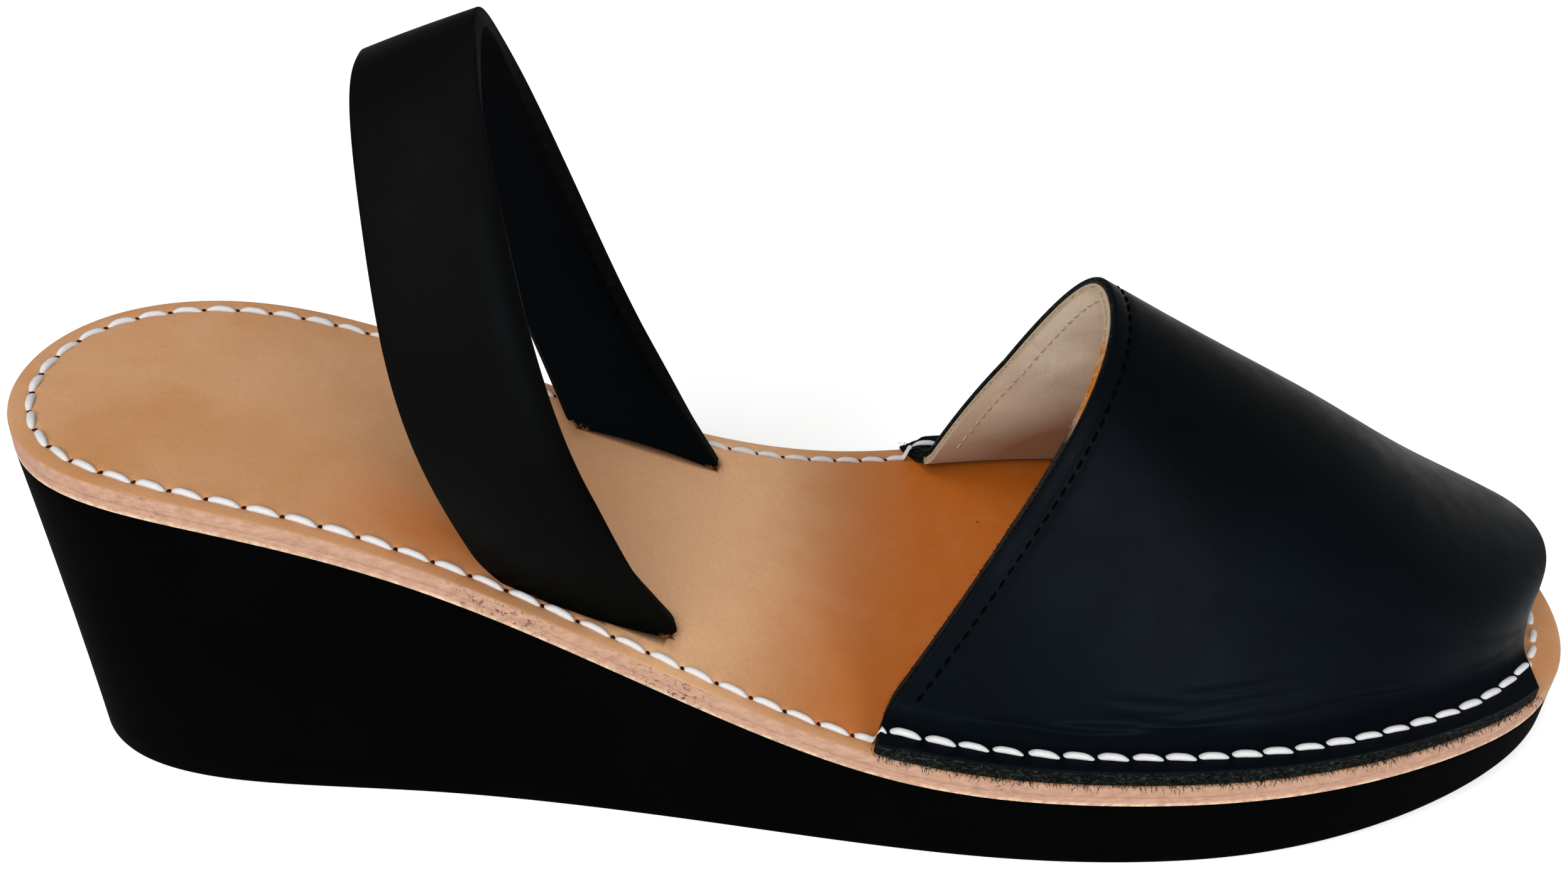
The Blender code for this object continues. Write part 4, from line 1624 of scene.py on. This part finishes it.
@dataclass
class HeelStrap:
    """Black strap loop that stands in the insole's two slots."""

    thickness: float = 2.5 * MM
    width: float = 17.0 * MM
    outer_foot_width: float = 29.5 * MM
    inner_foot_width: float = 27.6 * MM
    rise: float = 75.7 * MM
    spread: float = 26.2 * MM
    sweep: float = 21.8 * MM
    centre_y: float = -4.0 * MM
    cup: float = 1.6 * MM
    outer_slot: float = 0.342
    inner_slot: float = 0.374
    inner_turn: float = math.radians(5.0)
    foot_depth: float = 2.0 * MM
    rim_round: float = 0.32 * MM
    roll_share: float = 0.28
    roll_depth: float = 2.0 * MM
    roll_ways: tuple[float, float, float, float] = (0.06, 0.2, 0.45, 0.75)
    # Where the painted highlight lies along the strap's front fold
    highlight_from: float = 0.12
    highlight_to: float = 0.31
    highlight_column: int = -4
    highlight_width: float = 1.25 * MM
    corner_rounds: tuple[float, float, float, float] = (5.5 * MM, 2.4 * MM, 1.0 * MM, 1.0 * MM)
    steps: int = 300
    columns: int = 25
    sections: tuple = (
        # way, climb, reach, outer_back, inner_back, widening, tilt_degrees, cup
        (0.00, 0.000, 0.870, 0.000, 0.000, 1.00, -21.0, 1.00),
        (0.12, 0.190, 0.965, 0.325, 0.255, 0.54, -17.5, 0.90),
        (0.25, 0.384, 0.995, 0.585, 0.483, 0.25, -10.0, 0.80),
        (0.50, 0.713, 0.727, 0.871, 0.781, 0.00, 12.4, 0.60),
        (0.75, 0.941, 0.317, 0.991, 0.963, 0.00, 18.2, 0.34),
        (1.00, 1.000, 0.000, 1.000, 1.000, 0.00, 22.9, 0.05),
    )

    def leg(self, side: Side) -> tuple[np.ndarray, np.ndarray]:
        """Give one leg's sections.

        Args:
            side: The side of the foot.

        Returns:
            Their ways, from the slot to the crown, and their rows of sizes.
        """
        way, climb, reach, outer_back, inner_back, widening, tilt, cup = np.array(self.sections).T
        outer_x = float(LAST.station_x(self.outer_slot))
        crown_x = outer_x - self.sweep
        crown_z = LAST.top(outer_x)[0] + self.rise
        if side is Side.OUTER:
            foot_x, foot_width, back = outer_x, self.outer_foot_width, outer_back
            turn = np.zeros(len(way))
        else:
            foot_x = float(LAST.station_x(self.inner_slot))
            foot_width, back = self.inner_foot_width, inner_back
            turn = self.inner_turn * widening
        foot_z = LAST.top(foot_x)[0]
        x = foot_x + (crown_x - foot_x) * back
        y = self.centre_y + side.value * self.spread * reach
        z = foot_z + (crown_z - foot_z) * climb
        width = self.width + (foot_width - self.width) * widening
        rows = np.column_stack((x, y, z, width, np.radians(tilt), turn, self.cup * cup))
        return side.value * (1 - way), rows

    def middle_face(self) -> np.ndarray:
        """Give the middle face's points from the outer slot over to the inner one.

        Returns:
            Points of shape (rows, columns, 3), each row from the strap's rear edge to its front.
        """
        outer_way, outer_rows = self.leg(Side.OUTER)
        inner_way, inner_rows = self.leg(Side.INNER)
        ways = np.concatenate((outer_way, inner_way[-2::-1]))
        rows = np.vstack((outer_rows, inner_rows[-2::-1]))
        sections = SmoothCurve(ways, rows)(np.linspace(-1, 1, self.steps + 1))
        centre = np.array([0.0, self.centre_y, 0.0])
        forward = np.gradient(sections[:, :3], axis=0)
        grid = []
        for way, row, heading in zip(np.linspace(-1, 1, self.steps + 1), sections, forward):
            width, tilt, turn, cup = row[3:]
            over = row[2] - LAST.top(row[0])[0]
            rear_round, front_round = self.corner_rounds[:2] if way < 0 else self.corner_rounds[2:]
            rear = -0.5 + self.corner_cut(over, rear_round) / width
            front = 0.5 - self.corner_cut(over, front_round) / width
            across = np.linspace(rear, front, self.columns)
            side = np.array([math.cos(turn), math.sin(turn), 0.0]) * math.cos(tilt)
            side[2] = math.sin(tilt)
            proud = unit(np.cross(heading, side))
            if np.dot(proud, row[:3] - centre) < 0:
                proud = -proud
            crown = cup * (1 - (2 * across) ** 2)
            rolled = np.clip((across - self.roll_share) / (0.5 - self.roll_share), 0, 1) ** 2
            foot_way = 1 - abs(way)
            rolled *= smooth_step(foot_way, *self.roll_ways[:2])
            rolled *= 1 - smooth_step(foot_way, *self.roll_ways[2:])
            crown -= self.roll_depth * rolled
            grid.append(row[:3] + np.outer(across * width, side) + np.outer(crown, proud))
        return np.array(grid)

    def corner_cut(self, over: float, radius: float) -> float:
        """Give how much a rounded foot corner takes off at a height over the insole."""
        rest = radius - min(max(over, 0.0), radius)
        return radius - math.sqrt(radius ** 2 - rest ** 2)

    def foot_rows(self) -> list[np.ndarray]:
        """Give the two rows where the middle face meets the insole.

        Returns:
            The outer foot's points and the inner one's.
        """
        grid = self.middle_face()
        rows = []
        for row in grid[[0, -1]]:
            rows.append(np.column_stack((row[:, :2], LAST.top(row[:, 0]))))
        return rows

    def build(self, leather: bpy.types.Material, inner: bpy.types.Material,
              raw: bpy.types.Material) -> None:
        """Build the strap.

        Args:
            leather: Material of the outer face.
            inner: Material of the face towards the foot.
            raw: Material of the cut rim.
        """
        grid = self.middle_face()
        first, last = self.foot_rows()
        down = np.array([0.0, 0.0, self.foot_depth])
        middle = np.concatenate(([first - down, first], grid[1:-1], [last, last - down]))
        normals = grid_normals(middle)
        for foot, rows in ((first, (0, 1)), (last, (-1, -2))):
            along = np.gradient(foot, axis=0)
            level = unit(np.column_stack((-along[:, 1], along[:, 0], np.zeros(len(foot)))))
            level *= np.sign(np.sum(level * normals[rows[1]]))
            for row in rows:
                normals[row] = level
        half = self.thickness / 2
        proud = 1 if normals[len(middle) // 2, self.columns // 2, 2] > 0 else -1
        work = closed_sheet(middle + proud * half * normals, middle - proud * half * normals)
        soften_rim(work, self.rim_round)
        strap = add_piece("strap_loop", work, [leather, inner, raw], "black_leather")
        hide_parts("heel_strap")
        rows = slice(int(self.highlight_from * self.steps), int(self.highlight_to * self.steps))
        fold = grid[rows, self.highlight_column]

        def fold_highlight(places: np.ndarray) -> np.ndarray:
            """Paint a grey highlight along the fold of the strap's front edge.

            Args:
                places: Points of the piece.

            Returns:
                One number for each point.
            """
            gaps = np.linalg.norm(places[:, None] - fold[None], axis=2)
            # The painted highlight fades towards both ends of the fold
            worn = np.sin(np.linspace(0, math.pi, len(fold)))
            return (worn * hump(gaps, self.highlight_width)).max(axis=1)

        set_field(strap, "fold_highlight", fold_highlight)


@dataclass
class Seam:
    """Thick white seam right round the shoe, over the flange and across the toe."""

    inset: float = 3.0 * MM
    count: int = 110
    first_hole: float = 141.35 * MM
    flange_lift: float = 2.9 * MM
    groove: float = 0.2 * MM
    toe_inset: float = 1.5 * MM
    toe_start: float = 92.0 * MM
    toe_end: float = 119.0 * MM
    ramp_length: float = 0.8 * MM
    hole_half: tuple[float, float, float] = (0.38 * MM, 0.50 * MM, 0.16 * MM)
    hole_depth: float = 0.02 * MM
    size_spread: float = 0.09
    lean_spread: float = 0.35
    shift_spread: float = 0.15
    cover: tuple = (
        # side, from_station, to_station, length of the ramp at the back
        (Side.OUTER, 0.509, 0.952, 1.2 * MM),
        (Side.INNER, 0.566, 0.942, 1.4 * MM),
    )

    def __post_init__(self) -> None:
        """Walk along the seam once, and note each point's angle and travel."""
        self.turns = np.linspace(-math.pi, math.pi, 6001)
        plan, normals = LAST.plan(self.turns, self.inset)
        steps = np.linalg.norm(np.diff(plan, axis=0), axis=1)
        self.walked = np.concatenate(([0], np.cumsum(steps)))
        further = self.toe_inset * smooth_step(plan[:, 0], self.toe_start, self.toe_end)
        self.plan = plan - further[:, None] * normals
        self.length = self.walked[-1]

    def lifted(self, turns: np.ndarray, walked: np.ndarray) -> np.ndarray:
        """Give how high the seam rides over the insole, at angles along it.

        Args:
            turns: Outline angles.
            walked: The same places, as travel along the seam.

        Returns:
            Heights, less than 0 where it lies in the groove.
        """
        lift = np.zeros(len(turns))
        place = walked % self.length
        for side, start, end, ramp_length in self.cover:
            turns_there = [LAST.side_angle(end, side), LAST.side_angle(start, side)]
            front, rear = np.interp(turns_there, self.turns, self.walked)
            ahead = (place - front) * -side.value
            behind = (rear - place) * -side.value
            up = smooth_step(ahead, -self.ramp_length, 0)
            back = smooth_step(behind, -0.9 * ramp_length, 0.1 * ramp_length)
            lift = np.maximum(lift, up * back)
        return lift * self.flange_lift - (1 - lift) * self.groove

    def lifted_at(self, place: float) -> float:
        """Give how high the seam rides over the insole at one place along it.

        Args:
            place: Travel along the seam.

        Returns:
            The height there.
        """
        place %= self.length
        turns = np.interp([place], self.walked, self.turns)
        return float(self.lifted(turns, np.array([place]))[0])

    def surface(self, walked: np.ndarray) -> tuple[np.ndarray, np.ndarray]:
        """Give points of the seam and the leather's normals there.

        Args:
            walked: Places along the seam.

        Returns:
            The points and the normals.
        """
        place = walked % self.length
        turns = np.interp(place, self.walked, self.turns)
        x = np.interp(place, self.walked, self.plan[:, 0])
        y = np.interp(place, self.walked, self.plan[:, 1])
        z = LAST.top(x) + self.lifted(turns, walked)
        step = 0.5 * MM
        slope = (LAST.top(x + step) - LAST.top(x - step)) / (2 * step)
        ups = unit(np.column_stack((-slope, np.zeros(len(x)), np.ones(len(x)))))
        return np.column_stack((x, y, z)), ups

    def build(self, thread: bpy.types.Material, dark: bpy.types.Material) -> None:
        """Build the stitches and the thread holes between them.

        Args:
            thread: Material of the stitches.
            dark: Material of the holes.
        """
        draw = np.random.default_rng(7)
        stitch = Stitch()
        pitch = self.length / self.count
        work = bmesh.new()
        lay = work.verts.layers.float.new("lay")
        holes = bmesh.new()
        for number in range(self.count):
            start = self.first_hole + number * pitch
            size = 1.0 + draw.uniform(-self.size_spread, self.size_spread)
            lean = 1.0 + draw.uniform(-self.lean_spread, self.lean_spread)
            shift = draw.uniform(-self.shift_spread, self.shift_spread) * MM
            centres, ups = self.surface(start + pitch / 2 + shift + stitch.spread())
            stitch.add(work, lay, centres, ups, size, lean)
            if self.lifted_at(start) < self.flange_lift / 2:
                self.add_hole(holes, start)
        add_piece("seam_stitches", work, [thread], "waxed_thread", 80.0)
        add_piece("seam_holes", holes, [dark], "insole_leather", 80.0)

    def add_hole(self, work: bmesh.types.BMesh, place: float) -> None:
        """Add a dark, slightly sunken spot where the thread goes in.

        Args:
            work: The mesh of the holes.
            place: Its place along the seam.
        """
        centres, ups = self.surface(np.array([place, place + 0.2 * MM]))
        along = Vector(unit(centres[1] - centres[0]))
        up = Vector(ups[0])
        across = up.cross(along)
        turn = Matrix((along, across, up)).transposed().to_4x4()
        size = Matrix.Diagonal((*self.hole_half, 1.0))
        there = Matrix.Translation(centres[0] - self.hole_depth * ups[0]) @ turn @ size
        bmesh.ops.create_uvsphere(work, u_segments=10, v_segments=6, radius=1.0, matrix=there)


@dataclass(frozen=True)
class Fibres:
    """Loose fibres that stand out of a cut edge, as one joined mesh of thin cones."""

    name: str
    slot: str
    per_mm: float
    shortest: float
    longest: float
    radius: float
    stray: float = 0.7
    jitter: float = 0.25 * MM
    seed: int = 11

    def build(self, path: np.ndarray, outward: np.ndarray,
              material: bpy.types.Material) -> bpy.types.Object:
        """Build the fibres.

        Args:
            path: Points of the edge.
            outward: Directions in which they lean, one for each point.
            material: Their material.

        Returns:
            The piece.
        """
        draw = np.random.default_rng(self.seed)
        steps = np.linalg.norm(np.diff(path, axis=0), axis=1)
        walked = np.concatenate(([0], np.cumsum(steps)))
        count = int(walked[-1] / MM * self.per_mm)
        places = draw.uniform(0, walked[-1], count)
        roots = np.column_stack([np.interp(places, walked, path[:, k]) for k in range(3)])
        leans = np.column_stack([np.interp(places, walked, outward[:, k]) for k in range(3)])
        leans = unit(unit(leans) + self.stray * draw.normal(size=(count, 3)) / math.sqrt(3))
        roots = roots + draw.normal(size=(count, 3)) * self.jitter / math.sqrt(3)
        lengths = draw.uniform(self.shortest, self.longest, count)
        work = bmesh.new()
        for root, lean, length in zip(roots, leans, lengths):
            turn = Vector(lean).to_track_quat("Z", "Y").to_matrix().to_4x4()
            middle = Matrix.Translation(root + lean * length * 0.35)
            bmesh.ops.create_cone(work, cap_ends=True, segments=3, radius1=self.radius,
                                  radius2=self.radius * 0.2, depth=length, matrix=middle @ turn)
        return add_piece(self.name, work, [material], self.slot, 180.0)


# Studio

@dataclass
class Studio:
    """Pale floor, soft lights and the camera that was fitted to the picture."""

    camera_place: tuple[float, float, float] = (-31.12 * MM, -203.80 * MM, 184.01 * MM)
    yaw: float = math.radians(-5.881)
    pitch: float = math.radians(34.107)
    roll: float = math.radians(3.897)
    focal_pixels: float = 2502.9
    frame_width: float = 2496.0
    sensor: float = 36.0
    floor_half: float = 6.0
    floor_colour: str = "#f7f7f6"
    floor_glow: float = 0.36
    sky: float = 0.32
    aim: tuple[float, float, float] = (0.0, 0.0, 0.03)
    lights: tuple = (
        # name, place, size, watts
        ("window", (0.50, -1.05, 0.45), 0.5, 6.5),
        ("fill", (-0.50, -0.85, 0.70), 0.7, 10.0),
        ("overhead", (-0.25, -0.05, 1.35), 0.8, 4.5),
    )

    def camera(self) -> None:
        """Place the camera."""
        right = Vector((math.cos(self.yaw), math.sin(self.yaw), 0.0))
        ahead = Vector((-math.sin(self.yaw) * math.cos(self.pitch),
                        math.cos(self.yaw) * math.cos(self.pitch), -math.sin(self.pitch)))
        up = right.cross(ahead)
        turned = math.cos(self.roll) * right + math.sin(self.roll) * up
        upright = -math.sin(self.roll) * right + math.cos(self.roll) * up
        data = bpy.data.cameras.new("camera")
        data.sensor_width = self.sensor
        data.lens = self.focal_pixels / self.frame_width * self.sensor
        data.clip_start = 0.01
        data.clip_end = 50.0
        camera = bpy.data.objects.new("camera", data)
        bpy.context.scene.collection.objects.link(camera)
        camera.matrix_world = (Matrix.Translation(self.camera_place)
                               @ Matrix((turned, upright, -ahead)).transposed().to_4x4())
        bpy.context.scene.camera = camera

    def floor(self) -> None:
        """Lay the pale floor."""
        work = bmesh.new()
        bmesh.ops.create_grid(work, x_segments=1, y_segments=1, size=self.floor_half)
        mesh = bpy.data.meshes.new("floor")
        work.to_mesh(mesh)
        work.free()
        paper = Finish("matte_paper", roughness=0.9, specular=0.1)
        material, _, shader = paper.start()
        shader.inputs["Base Color"].default_value = hex_colour(self.floor_colour)
        shader.inputs["Emission Color"].default_value = (1.0, 1.0, 1.0, 1.0)
        shader.inputs["Emission Strength"].default_value = self.floor_glow
        mesh.materials.append(material)
        floor = bpy.data.objects.new("floor", mesh)
        bpy.context.scene.collection.objects.link(floor)

    def area(self, name: str, place: tuple[float, float, float], size: float,
             watts: float) -> None:
        """Hang one square light that faces the shoe.

        Args:
            name: The light's name.
            place: Where it hangs.
            size: Length of its sides.
            watts: Its power.
        """
        data = bpy.data.lights.new(name, "AREA")
        data.size = size
        data.energy = watts
        lamp = bpy.data.objects.new(name, data)
        bpy.context.scene.collection.objects.link(lamp)
        ahead = Vector(self.aim) - Vector(place)
        turn = ahead.to_track_quat("-Z", "Y").to_matrix().to_4x4()
        lamp.matrix_world = Matrix.Translation(place) @ turn

    def build(self) -> None:
        """Set up the studio."""
        self.camera()
        self.floor()
        for name, place, size, watts in self.lights:
            self.area(name, place, size, watts)
        world = bpy.data.worlds.new("studio")
        world.use_nodes = True
        background = world.node_tree.nodes["Background"]
        background.inputs["Color"].default_value = (1.0, 1.0, 1.0, 1.0)
        background.inputs["Strength"].default_value = self.sky
        bpy.context.scene.world = world
        bpy.context.scene.view_settings.view_transform = "Standard"


def main() -> None:
    """Build the sub-assemblies in the order in which the shoe is made."""
    logging.basicConfig(level=logging.INFO, format="%(message)s")
    Studio().build()
    leather = SmoothBlackLeather("waxed_black_calf", roughness=0.44, specular=0.047,
                                 coat=0.012, coat_roughness=0.3).build()
    strap_leather = SmoothBlackLeather("matte_black_calf", roughness=0.5, specular=0.024,
                                       deep="#030303", cool="#050605",
                                       sheen_tint="#e9ebe6").build()
    strap_inner = SmoothBlackLeather("black_calf_flesh_side", roughness=0.65, specular=0.03,
                                     deep="#040607", cool="#06090d").build()
    strap_edge = FibrousEdge("dyed_strap_edge", roughness=0.8, specular=0.04,
                             dark="#030403", light="#161a18").build()
    fuzz = DullTone("black_leather_fibre", roughness=0.9, specular=0.05,
                    colour="#060706", other="#343b38").build()
    raw = FibrousEdge("raw_black_leather_edge", roughness=0.9, specular=0.05).build()
    tan = TannedLeather("vegetable_tanned_shoulder", roughness=0.55, specular=0.27,
                        coat=0.04, coat_roughness=0.42).build()
    tan_edge = RawTanEdge("raw_split_leather_edge", roughness=0.9, specular=0.2).build()
    suede = SuedeLining("napped_pigskin_split", roughness=0.95, specular=0.1, sheen=0.2).build()
    glue = LiningEdge("glued_lining_rim", roughness=0.8, specular=0.2).build()
    rubber = MouldedFoam("moulded_black_foam_rubber", roughness=0.85, specular=0.012).build()
    thread = WaxedThread("waxed_plied_linen", roughness=0.55, specular=0.3,
                         coat=0.08, coat_roughness=0.35).build()
    # Dark reddish-brown spots where the thread goes in
    dark = DullTone("dark_thread_hole", roughness=0.95, specular=0.05,
                    colour="#250c05", other="#43190c").build()
    torn = DullTone("torn_tanned_fibre", roughness=0.9, specular=0.1,
                    colour="#5a2409", other="#c07534").build()
    black = DullTone("black_polyester_thread", roughness=0.8, specular=0.02,
                     colour="#000000", other="#010101").build()
    faded = DullTone("thread_pressed_in_suede", roughness=0.9, specular=0.1,
                     colour="#a8937e", other="#c4ae98").build()
    strap = HeelStrap()
    WedgeSole().build(rubber)
    LeatherLayers().build(tan, tan_edge, torn, strap.foot_rows(), strap.thickness / 2)
    Vamp().build(leather, raw, suede, glue, black, faded, fuzz)
    strap.build(strap_leather, strap_inner, strap_edge)
    Seam().build(thread, dark)


if __name__ == "__main__":
    main()
